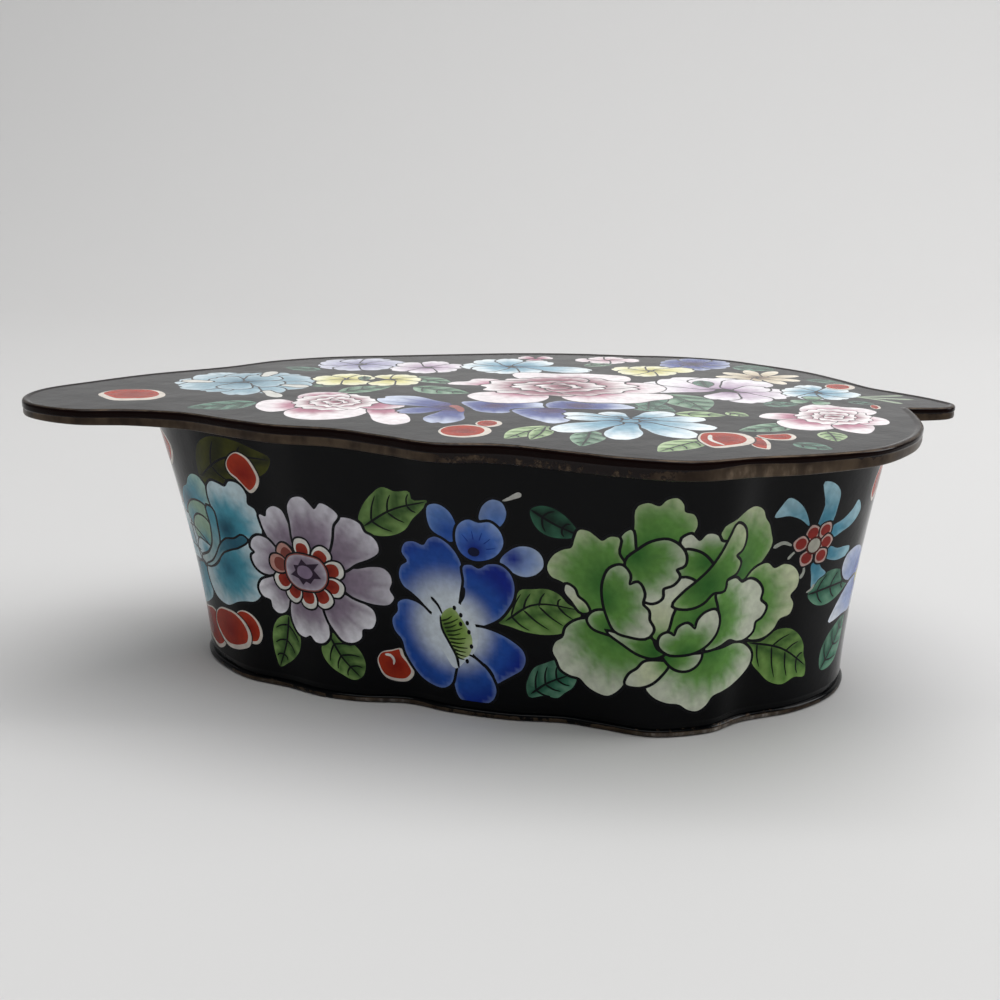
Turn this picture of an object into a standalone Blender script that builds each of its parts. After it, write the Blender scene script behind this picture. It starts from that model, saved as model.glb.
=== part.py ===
"""Leaf-shaped trinket box of enamelled copper sheet with a lift-off lid.

The tip of the leaf is at -X, its stem at +X and its front at -Y. The table is z = 0, and the middle
of the lid's length and depth is x = y = 0. Sizes are in metres.
"""

import bmesh
import bpy
import numpy as np

# Driving dimensions of the body
FOOT_LENGTH = 0.1086
FOOT_DEPTH = 0.0608
BODY_HEIGHT = 0.0447
BODY_SHEET = 0.0014
TIP_FLARE = 0.0080
STEM_FLARE = 0.0063
SIDE_FLARE = 0.0061
FLARE_CURVE = 1.4
FOOT_LIP = 0.0004
LIP_THICKNESS = 0.0012
LIP_NECK = 0.0011
FOOT_RECESS = 0.0012
FOOT_RING_WIDTH = 0.0026
FLOOR_FILLET = 0.0020

# Driving dimensions of the lid
TIP_OVERHANG = 0.0190
STEM_OVERHANG = 0.0093
FRONT_OVERHANG = 0.0090
BACK_OVERHANG = 0.0088
LID_SHEET = 0.0012
LID_SHOULDER = 0.0010
RIM_AT_MIDDLE = 0.0029
RIM_AT_TIP = 0.0024
RIM_AT_STEM = 0.0019
COLLAR_DEPTH = 0.0030
COLLAR_SHEET = 0.0010

# Clearances
COLLAR_CLEARANCE = 0.0004
SEAT_GAP = 0.0003

# How finely the smooth forms are cut into facets
FACETS_PER_SPAN = 3
WALL_ROWS = 8
ROUND_STEPS = 3

# The lobed outline of the foot, from the tip round the front, the stem and the back. Each point is
# the foot's half length and half depth in hundredths, measured from the middle of the foot.
FOOT_LOBES = [
    (-100, 25), (-98, 7), (-90, -16), (-80, -33), (-69, -42), (-55, -56), (-44, -61), (-32, -62),
    (-18, -73), (0, -82), (16, -85), (25, -91), (40, -100), (55, -94), (66, -78), (80, -66),
    (92.5, -46), (99, -22), (100, 1), (92, 32), (79, 56), (67, 75), (51, 92), (33, 96), (11, 100),
    (-11, 96), (-31, 91), (-52, 87), (-68, 76), (-81, 66), (-94, 50),
]

# The leaf outline of the lid in the same form, from the tip round the back, the stem and the front.
LID_LOBES = [
    (-100, -4), (-98.5, 9), (-91, 24), (-80, 42), (-64, 60), (-53, 77), (-40, 87), (-26.5, 91),
    (-12, 95.5), (8, 100), (21, 99.5), (32, 96.5), (45, 94), (56, 87.5), (66, 74), (75.5, 57.5),
    (81.5, 40.5), (87, 23), (92, 14), (97.5, 2.5), (100, -7.5), (97.5, -14), (93, -15), (89.5, -15),
    (89.5, -29), (88, -48), (83.5, -66), (75, -81.5), (64, -89), (53, -93.5), (41, -100),
    (29, -96), (16.5, -87), (5.5, -79.5), (-6.5, -78.5), (-17, -68.5), (-28.5, -58), (-40, -53.5),
    (-50, -45), (-62, -34), (-73, -30.5), (-83.5, -31), (-94.5, -22.5),
]
STEM_NOTCH = 23


def smooth_loop(lobes, corner=None):
    """Closed smooth curve through the outline's points, cut into facets; a corner stays sharp."""
    points = np.array(lobes, float)
    before = points - np.roll(points, 1, 0)
    after = np.roll(points, -1, 0) - points
    length_before = np.linalg.norm(before, axis=1, keepdims=True)
    length_after = np.linalg.norm(after, axis=1, keepdims=True)
    way = before / length_before * length_after + after / length_after * length_before
    way /= length_before + length_after
    leave = way * length_after
    arrive = np.roll(way, -1, 0) * length_after
    if corner is not None:
        leave[corner] = 0.6 * after[corner]
        arrive[corner - 1] = 0.6 * after[corner - 1]
    t = (np.arange(FACETS_PER_SPAN) / FACETS_PER_SPAN)[None, :, None]
    start, end = points[:, None], np.roll(points, -1, 0)[:, None]
    curve = (2 * t**3 - 3 * t**2 + 1) * start + (t**3 - 2 * t**2 + t) * leave[:, None]
    curve += (3 * t**2 - 2 * t**3) * end + (t**3 - t**2) * arrive[:, None]
    return curve.reshape(-1, 2)


def fitted(loop, low, high):
    """The loop stretched so that its box runs from low to high."""
    bottom, top = loop.min(0), loop.max(0)
    return low + (loop - bottom) / (top - bottom) * (high - low)


def outward(loop):
    """At each point, the step that moves the two edges beside it outward by one."""
    edge = np.roll(loop, -1, 0) - loop
    across = np.stack([edge[:, 1], -edge[:, 0]], 1) / np.linalg.norm(edge, axis=1, keepdims=True)
    if np.sum(across * (loop - loop.mean(0))) < 0:
        across = -across
    before = np.roll(across, 1, 0)
    return (across + before) / (1 + np.sum(across * before, axis=1, keepdims=True))


def oval_outward(loop, waves=3):
    """The outward direction of the plain oval that the lobes ride on."""
    around = np.fft.fft(loop[:, 0] + 1j * loop[:, 1])
    around[waves + 1 : -waves] = 0
    oval = np.fft.ifft(around)
    step = outward(np.stack([oval.real, oval.imag], 1))
    return step / np.linalg.norm(step, axis=1, keepdims=True)


def wall_outline(height):
    """The body's outside at a height: the lip at the foot, its neck, then the flaring wall."""
    share = np.clip((height - NECK_TOP) / (BODY_HEIGHT - NECK_TOP), 0, 1)
    along, across = FLARE_WAY[:, :1], FLARE_WAY[:, 1:]
    flare = SIDE_FLARE * across**2 + np.where(along < 0, TIP_FLARE, STEM_FLARE) * along**2
    return FOOT + FLARE_WAY * (flare * share**FLARE_CURVE - FOOT_LIP)


def inner_wall(height):
    """The body's inside at a height, one sheet inside its outside."""
    outside = wall_outline(height)
    return outside - outward(outside) * BODY_SHEET


def at_height(loop, height):
    """The loop as points in space."""
    return np.column_stack([loop, np.broadcast_to(height, len(loop))])


def skin(name, rows, colour, roughness):
    """A closed solid through rows of points, each row a ring, with a flat cap on both ends."""
    mesh = bmesh.new()
    rings = [[mesh.verts.new(point) for point in row] for row in rows]
    for lower, upper in zip(rings, rings[1:]):
        for i in range(len(lower)):
            j = (i + 1) % len(lower)
            mesh.faces.new((lower[i], lower[j], upper[j], upper[i]))
    mesh.faces.new(rings[0])
    mesh.faces.new(rings[-1])
    bmesh.ops.recalc_face_normals(mesh, faces=mesh.faces)
    if mesh.calc_volume(signed=True) < 0:
        bmesh.ops.reverse_faces(mesh, faces=mesh.faces)
    data = bpy.data.meshes.new(name)
    mesh.to_mesh(data)
    mesh.free()
    data.shade_smooth()
    data.set_sharp_from_angle(angle=np.radians(40))
    part = bpy.data.objects.new(name, data)
    bpy.context.scene.collection.objects.link(part)
    material = bpy.data.materials.new(name + " enamel")
    material.use_nodes = True
    shader = material.node_tree.nodes["Principled BSDF"]
    shader.inputs["Base Color"].default_value = (*colour, 1)
    shader.inputs["Roughness"].default_value = roughness
    data.materials.append(material)
    return part


def rounded_lip():
    """Rows round the foot lip's outer edge, from the table up to its neck."""
    radius = LIP_THICKNESS / 2
    turns = np.linspace(-np.pi / 2, np.pi / 2, 2 * ROUND_STEPS + 1)
    return [at_height(FOOT - radius * (1 - np.cos(a)) * FOOT_WAY, radius * (1 + np.sin(a))) for a in turns]


def body():
    """The hollow vessel: foot ring, lip, flaring lobed wall, mouth and floor."""
    ring_inside = FOOT - FOOT_WAY * (FOOT_LIP + FOOT_RING_WIDTH)
    rows = [at_height(ring_inside, FOOT_RECESS), at_height(ring_inside, 0)]
    rows += rounded_lip()
    heights = np.linspace(NECK_TOP, BODY_HEIGHT, WALL_ROWS + 1)
    rows += [at_height(wall_outline(z), z) for z in heights]
    floor_top = FOOT_RECESS + BODY_SHEET
    inner_heights = np.linspace(BODY_HEIGHT, floor_top + FLOOR_FILLET, WALL_ROWS)
    rows += [at_height(inner_wall(z), z) for z in inner_heights]
    base = inner_wall(floor_top + FLOOR_FILLET)
    inward = -outward(base)
    for a in np.linspace(0, np.pi / 2, ROUND_STEPS + 1)[1:]:
        inset = FLOOR_FILLET * (1 - np.cos(a))
        rows.append(at_height(base + inward * inset, floor_top + FLOOR_FILLET * (1 - np.sin(a))))
    return skin("box_body", rows, (0.012, 0.014, 0.016), 0.12)


def rim_height(outline):
    """The lid's rim is deepest along its middle and shallower at the tip and at the stem."""
    low, high = outline[:, 0].min(), outline[:, 0].max()
    places = [low, 0.4 * low, 0.6 * high, high]
    return np.interp(outline[:, 0], places, [RIM_AT_TIP, RIM_AT_MIDDLE, RIM_AT_MIDDLE, RIM_AT_STEM])


def seen_from_middle(loop, guide):
    """The points of a loop that lie in the same directions from the origin as the guide's points."""
    angle = np.arctan2(loop[:, 1], loop[:, 0])
    wanted = np.arctan2(guide[:, 1], guide[:, 0])
    return np.stack([np.interp(wanted, angle, loop[:, i], period=2 * np.pi) for i in (0, 1)], 1)


def lid():
    """The pressed plate with its turned-down rim, and the collar that sits inside the mouth."""
    way = outward(LID)
    underside = BODY_HEIGHT + SEAT_GAP
    top = underside + LID_SHEET
    rows = []
    for a in np.linspace(np.pi / 2, 0, ROUND_STEPS + 1):
        inset = LID_SHOULDER * (1 - np.cos(a))
        rows.append(at_height(LID - way * inset, top - LID_SHOULDER * (1 - np.sin(a))))
    rim_inside = LID - way * LID_SHEET
    collar_edge = inner_wall(BODY_HEIGHT - COLLAR_DEPTH)
    collar_outside = collar_edge - outward(collar_edge) * COLLAR_CLEARANCE
    collar_inside = collar_outside - outward(collar_outside) * COLLAR_SHEET
    collar_outside = seen_from_middle(collar_outside, LID)
    collar_inside = seen_from_middle(collar_inside, LID)
    rows += [
        at_height(LID, top - rim_height(LID)),
        at_height(rim_inside, top - rim_height(LID)),
        at_height(rim_inside, underside),
        at_height(collar_outside, underside),
        at_height(collar_outside, BODY_HEIGHT - COLLAR_DEPTH),
        at_height(collar_inside, BODY_HEIGHT - COLLAR_DEPTH),
        at_height(collar_inside, underside),
    ]
    return skin("lid", rows, (0.014, 0.014, 0.016), 0.12)


for leftover in list(bpy.data.objects):
    bpy.data.objects.remove(leftover)

NECK_TOP = LIP_THICKNESS + LIP_NECK

# The foot is drawn about its own middle; the lid's box then follows the mouth and the overhangs.
half_foot = np.array([FOOT_LENGTH, FOOT_DEPTH]) / 2
FOOT = fitted(smooth_loop(FOOT_LOBES), -half_foot, half_foot)
FLARE_WAY = oval_outward(FOOT)
mouth = wall_outline(BODY_HEIGHT)
lid_low = mouth.min(0) - [TIP_OVERHANG, FRONT_OVERHANG]
lid_high = mouth.max(0) + [STEM_OVERHANG, BACK_OVERHANG]
lid_middle = (lid_low + lid_high) / 2
FOOT = FOOT - lid_middle
FOOT_WAY = outward(FOOT)
LID = fitted(smooth_loop(LID_LOBES, STEM_NOTCH), lid_low - lid_middle, lid_high - lid_middle)

body()
lid()
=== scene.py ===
# %% [markdown]
# # A leaf-shaped enamel trinket box
#
# The box is copper sheet under black enamel, painted all over with flowers: a flaring lobed body
# with a thin lip at its foot, and a loose lid shaped like a leaf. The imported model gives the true
# sizes, and this notebook makes the fine surfaces and the painting over them. Sizes are in metres,
# and the painting is drawn in millimetres on flat sheets that are then wrapped round the forms.

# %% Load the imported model
import bpy
import numpy as np
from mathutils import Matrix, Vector
from mathutils.geometry import delaunay_2d_cdt


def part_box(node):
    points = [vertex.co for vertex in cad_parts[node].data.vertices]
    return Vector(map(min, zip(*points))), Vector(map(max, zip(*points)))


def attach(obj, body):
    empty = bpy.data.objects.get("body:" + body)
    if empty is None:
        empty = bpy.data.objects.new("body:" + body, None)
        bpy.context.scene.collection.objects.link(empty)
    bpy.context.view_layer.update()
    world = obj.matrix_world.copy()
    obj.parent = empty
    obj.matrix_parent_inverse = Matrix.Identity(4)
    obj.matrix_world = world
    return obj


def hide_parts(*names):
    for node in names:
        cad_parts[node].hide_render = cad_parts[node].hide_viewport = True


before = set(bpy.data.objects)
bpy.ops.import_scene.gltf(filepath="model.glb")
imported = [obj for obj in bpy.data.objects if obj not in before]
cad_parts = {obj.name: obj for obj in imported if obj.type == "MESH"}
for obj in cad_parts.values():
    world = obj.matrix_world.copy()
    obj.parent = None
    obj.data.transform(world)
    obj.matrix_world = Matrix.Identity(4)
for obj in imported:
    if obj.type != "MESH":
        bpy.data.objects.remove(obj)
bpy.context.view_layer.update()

BODY_LOW, BODY_HIGH = [np.array(corner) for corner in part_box("box_body")]
LID_LOW, LID_HIGH = [np.array(corner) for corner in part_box("lid")]
MM = 0.001
print("body", BODY_LOW, BODY_HIGH)
print("lid", LID_LOW, LID_HIGH)

# %% [markdown]
# ## Outlines
#
# Both outlines are given as a few points and rounded with a curve whose direction at each point
# leans towards the nearer neighbour, so short lobes stay crisp and long stretches stay fair. The
# same curve later draws every petal.

# %% Curves through a few points
CORNER_SPEED = 0.6


def smooth_loop(points, cuts, corner=None):
    """Closed curve through the points.

    Between two points it is the cubic that leaves along one tangent and arrives along the next. A
    tangent is the mean of the two chord directions, each weighted by the other chord's length. At a
    corner the curve leaves straight along the chord.
    """
    points = np.array(points, float)
    before = points - np.roll(points, 1, 0)
    after = np.roll(points, -1, 0) - points
    length_before = np.linalg.norm(before, axis=1, keepdims=True)
    length_after = np.linalg.norm(after, axis=1, keepdims=True)
    way = before / length_before * length_after + after / length_after * length_before
    way /= length_before + length_after
    leave = way * length_after
    arrive = np.roll(way, -1, 0) * length_after
    if corner is not None:
        leave[corner] = CORNER_SPEED * after[corner]
        arrive[corner - 1] = CORNER_SPEED * after[corner - 1]
    t = (np.arange(cuts) / cuts)[None, :, None]
    start, end = points[:, None], np.roll(points, -1, 0)[:, None]
    curve = (2 * t**3 - 3 * t**2 + 1) * start + (t**3 - 2 * t**2 + t) * leave[:, None]
    curve += (3 * t**2 - 2 * t**3) * end + (t**3 - t**2) * arrive[:, None]
    return curve.reshape(-1, 2)


def fitted(loop, low, high):
    """The loop stretched so that its box runs from low to high."""
    bottom, top = loop.min(0), loop.max(0)
    return low + (loop - bottom) / (top - bottom) * (high - low)


def outward(loop):
    """At each point, the step that moves both edges beside it outward by one, two at the most.

    It is the sum of the two edges' outward directions over one plus their cosine, and a little more
    than one, so that a fold doesn't divide by nothing.
    """
    edge = np.roll(loop, -1, 0) - loop
    across = np.stack([edge[:, 1], -edge[:, 0]], 1)
    across /= np.maximum(np.linalg.norm(edge, axis=1, keepdims=True), 1e-12)
    area = np.sum(loop[:, 0] * np.roll(loop[:, 1], -1) - loop[:, 1] * np.roll(loop[:, 0], -1))
    across *= np.sign(area)
    before = np.roll(across, 1, 0)
    step = (across + before) / (1.02 + np.sum(across * before, axis=1, keepdims=True))
    return step / np.maximum(np.linalg.norm(step, axis=1, keepdims=True) / 2, 1)

# %% [markdown]
# ## The wall
#
# The real body is beaten up from sheet: its foot is a lobed oval and the wall leans out more and
# more towards the mouth. The lobes ride on a plain oval, and every point of the foot moves outward
# along that oval's normal, so the lobes run up the wall without growing.

# %% The foot and the wall above it
FOOT_LOBES = [
    (-100, 25), (-98, 7), (-90, -16), (-80, -33), (-69, -42), (-55, -56), (-44, -61), (-32, -62),
    (-18, -73), (0, -82), (16, -85), (25, -91), (40, -100), (55, -94), (66, -78), (80, -66),
    (92.5, -46), (99, -22), (100, 1), (92, 32), (79, 56), (67, 75), (51, 92), (33, 96), (11, 100),
    (-11, 96), (-31, 91), (-52, 87), (-68, 76), (-81, 66), (-94, 50),
]
FOOT_LENGTH = 108.6 * MM
FOOT_DEPTH = 60.8 * MM
TIP_FLARE = 8.0 * MM
STEM_FLARE = 6.3 * MM
SIDE_FLARE = 6.1 * MM
FLARE_CURVE = 1.4
FOOT_LIP = 0.4 * MM
LIP_THICKNESS = 1.2 * MM
NECK_TOP = 2.3 * MM
BODY_SHEET = 1.4 * MM
MOUTH = BODY_HIGH[2]
BELT_HEIGHT = 24 * MM
FOOT_CUTS = 40
OVAL_WAVES = 3
NORMAL_REACH = 0.35 * MM


def oval_outward(loop):
    """Outward directions of the oval left when only the loop's first few waves are kept."""
    around = np.fft.fft(loop[:, 0] + 1j * loop[:, 1])
    around[OVAL_WAVES + 1 : -OVAL_WAVES] = 0
    plain_oval = np.fft.ifft(around)
    step = outward(np.stack([plain_oval.real, plain_oval.imag], 1))
    return step / np.linalg.norm(step, axis=1, keepdims=True)


def leaned(foot, way, height):
    """The foot moved outward by the flare times the height's share of the wall to the power 1.4."""
    share = np.maximum((height - NECK_TOP) / (MOUTH - NECK_TOP), 0)
    flare = SIDE_FLARE * way[..., 1] ** 2
    flare = flare + np.where(way[..., 0] < 0, TIP_FLARE, STEM_FLARE) * way[..., 0] ** 2
    return foot + way * (flare * share**FLARE_CURVE - FOOT_LIP)[..., None]


half_foot = np.array([FOOT_LENGTH, FOOT_DEPTH]) / 2
FOOT = fitted(smooth_loop(FOOT_LOBES, FOOT_CUTS), -half_foot, half_foot)
FLARE_WAY = oval_outward(FOOT)
mouth = leaned(FOOT, FLARE_WAY, np.array(MOUTH))
FOOT = FOOT + (BODY_LOW[:2] + BODY_HIGH[:2] - mouth.min(0) - mouth.max(0)) / 2
belt = leaned(FOOT, FLARE_WAY, np.array(BELT_HEIGHT))
steps = np.linalg.norm(np.roll(belt, -1, 0) - belt, axis=1)
RUN = np.concatenate([[0], np.cumsum(steps)])
GIRTH = RUN[-1]
print("girth at half height", round(GIRTH / MM, 1), "mm")


def read_loop(loop, u):
    """Values of a closed loop at the distance u along the belt, from the leaf's tip by the front."""
    closed = np.concatenate([loop, loop[:1]])
    place = np.mod(u, GIRTH)
    return np.stack([np.interp(place, RUN, closed[:, i]) for i in (0, 1)], -1)


def wall(u, height):
    """Point on the wall's outside at the distance u along the belt and at a height."""
    u, height = np.broadcast_arrays(u, height)
    flat = leaned(read_loop(FOOT, u), read_loop(FLARE_WAY, u), height)
    return np.concatenate([flat, height[..., None]], -1)


def wall_normals(u, height):
    """Unit normals: the cross product of the wall's two slopes, each taken over a short reach."""
    along = wall(u + NORMAL_REACH, height) - wall(u - NORMAL_REACH, height)
    up = wall(u, height + NORMAL_REACH) - wall(u, height - NORMAL_REACH)
    normal = np.cross(along, up)
    return normal / np.linalg.norm(normal, axis=-1, keepdims=True)

# %% [markdown]
# ## The lid's outline
#
# The lid is one leaf, with its tip at the left and a short stem at the right that is set off by a
# sharp notch. A pressed bead runs round its edge, so the plate sits a hair lower than the bead.

# %% The lid's outline
LID_LOBES = [
    (-100, -4), (-98.5, 9), (-91, 24), (-80, 42), (-64, 60), (-53, 77), (-40, 87), (-26.5, 91),
    (-12, 95.5), (8, 100), (21, 99.5), (32, 96.5), (45, 94), (56, 87.5), (66, 74), (75.5, 57.5),
    (81.5, 40.5), (87, 23), (92, 14), (97.5, 2.5), (100, -7.5), (97.5, -14), (93, -15), (89.5, -15),
    (89.5, -29), (88, -48), (83.5, -66), (75, -81.5), (64, -89), (53, -93.5), (41, -100),
    (29, -96), (16.5, -87), (5.5, -79.5), (-6.5, -78.5), (-17, -68.5), (-28.5, -58), (-40, -53.5),
    (-50, -45), (-62, -34), (-73, -30.5), (-83.5, -31), (-94.5, -22.5),
]
STEM_NOTCH = 23
LID_CUTS = 10
LID_TOP = LID_HIGH[2]
LID_SHEET = 1.2 * MM
BEAD_WIDTH = 1.3 * MM
BEAD_RISE = 0.15 * MM
RIM_AT_MIDDLE = 2.9 * MM
RIM_AT_TIP = 2.4 * MM
RIM_AT_STEM = 1.9 * MM
COLLAR_DEPTH = 3.0 * MM
COLLAR_SHEET = 1.0 * MM
COLLAR_CLEARANCE = 0.4 * MM
LID = fitted(smooth_loop(LID_LOBES, LID_CUTS, STEM_NOTCH), LID_LOW[:2], LID_HIGH[:2])[::-1]
LID_WAY = outward(LID)
PLATE = LID - LID_WAY * BEAD_WIDTH
PLATE_TOP = LID_TOP - BEAD_RISE
UNDERSIDE = LID_TOP - LID_SHEET
print("lid outline of", len(LID), "points")

# %% [markdown]
# ## How the painting is made
#
# The flowers are flat colour under glaze, so nothing is raised. Each petal is a shape in
# millimetres on a flat sheet, with a dark edge under it. The sheet is cut along every painted edge
# into small triangles, and each triangle belongs to the last shape that covers it, as with real
# paint. The colours sit at the triangles' corners, so an edge is as sharp as a cut and the inside
# of a petal can still fade from one colour to another.

# %% Colours
def tint(red, green, blue):
    """A colour given as on a screen, turned into the linear light that the shader works in."""
    value = np.array([red, green, blue]) / 255
    return np.where(value < 0.04045, value / 12.92, ((value + 0.055) / 1.055) ** 2.4)


BLACK = tint(3, 4, 6)
RIM_BLACK = tint(17, 5, 4)
INK = tint(13, 14, 18)
WHITE = tint(220, 219, 212)
LILAC_WHITE = tint(212, 210, 218)
LILAC_PALE = tint(136, 122, 138)
LILAC = tint(132, 114, 138)
LILAC_DEEP = tint(76, 60, 84)
TEAL_PALE = tint(194, 214, 220)
TEAL = tint(72, 146, 166)
TEAL_DEEP = tint(14, 74, 96)
BLUE_WHITE = tint(212, 222, 230)
BLUE_PALE = tint(150, 176, 220)
BLUE = tint(33, 78, 164)
BLUE_DEEP = tint(14, 38, 136)
GREEN_PALE = tint(208, 216, 180)
GREEN = tint(98, 148, 70)
GREEN_DEEP = tint(52, 108, 44)
GREEN_WHITE = tint(208, 214, 194)
LEAF_LIGHT = tint(138, 172, 100)
LEAF = tint(76, 108, 54)
LEAF_DEEP = tint(34, 62, 34)
OLIVE_LIGHT = tint(76, 78, 12)
OLIVE = tint(46, 48, 8)
OLIVE_DEEP = tint(18, 22, 6)
RED = tint(168, 52, 28)
RED_DEEP = tint(134, 28, 15)
CREAM = tint(218, 209, 198)
PINK_WHITE = tint(246, 238, 240)
PINK = tint(186, 124, 144)
PINK_DEEP = tint(110, 54, 78)
MEADOW = (LEAF_LIGHT, LEAF, LEAF_DEEP)
SEA = (tint(112, 158, 132), tint(54, 112, 88), tint(20, 56, 42))
DUSK = (tint(58, 112, 86), tint(30, 62, 48), tint(12, 28, 22))

# %% [markdown]
# A petal fades from its root, over its flesh, to a paler rim. So a colour depends on two distances:
# how far a point is from the root, and how far it is inside the petal's own edge.

# %% Fading colours
STROKES = (0.06, 0.05)


def edge_distance(points, loop):
    """Distance of each point to the nearest edge of a closed loop."""
    start, way = loop, np.roll(loop, -1, 0) - loop
    length = np.maximum(np.sum(way**2, 1), 1e-9)
    off = points[:, None] - start
    share = np.clip(np.sum(off * way, 2) / length, 0, 1)
    return np.linalg.norm(off - share[..., None] * way, axis=2).min(1)


def soft(value):
    """The s-shaped step from 0 to 1: three times the square less twice the cube."""
    value = np.clip(value, 0, 1)
    return value * value * (3 - 2 * value)


def plain(colour):
    """One colour all over."""
    return lambda points: np.broadcast_to(colour, (len(points), 3))


def faded(loop, root, reach, rim, flesh, heart, edge):
    """Heart colour at the root, flesh half way out, rim colour at the reach, and a thin pale edge.

    Two sines of the direction from the root, a few millimetres long at the reach, carry the colours
    further out in some places than in others, as single brush strokes do.
    """
    root = np.array(root, float)
    strokes = max(round(1.7 * reach), 2)

    def colour(points):
        away = points - root
        turn = np.arctan2(away[:, 1], away[:, 0]) * strokes
        far = np.linalg.norm(away, axis=1) / reach
        far = far * (1 + STROKES[0] * np.sin(turn) + STROKES[1] * np.sin(2 * turn + 1.3))
        depth = edge_distance(points, loop) / edge
        body = heart + soft(far * 2)[:, None] * (flesh - heart)
        pale = np.maximum(soft(far * 1.7 - 0.8), 0.5 * (1 - soft(depth)) * soft(far * 3 - 0.9))
        return body + pale[:, None] * (rim - body)

    return colour


print("half way between two colours:", soft(0.5), "and a quarter of the way:", round(soft(0.25), 3))

# %% [markdown]
# Every motif is drawn with the same few strokes: a petal, a brush line, a dot, a bud and a leaf. A
# sheet keeps them in painting order, and can be set to draw a motif somewhere else, turned, sized or
# mirrored.

# %% Directions and ovals
def unit(step):
    """The step made one long."""
    return step / np.linalg.norm(step)


def left_of(step):
    """The step turned a quarter to the left."""
    return np.array([-step[1], step[0]])


def heading(turn):
    """The step of length one at a turn in degrees from the first axis."""
    return np.array([np.cos(np.radians(turn)), np.sin(np.radians(turn))])


def oval(width, height, count, turn=0.0):
    """Points round an oval, turned in degrees about its middle."""
    angle = np.linspace(0, 2 * np.pi, count, endpoint=False)
    points = np.stack([width / 2 * np.cos(angle), height / 2 * np.sin(angle)], 1)
    return points @ np.array([heading(turn), left_of(heading(turn))])


print("a quarter turn points to", np.round(heading(90), 3))

# %% A sheet of shapes
INK_WIDTH = 0.48
LEAF_INK = 0.42
PETAL_CUTS = 4
LINE_CUTS = 6
BUD_RING = 0.72
VEIN_SLOPE = 0.75


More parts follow.
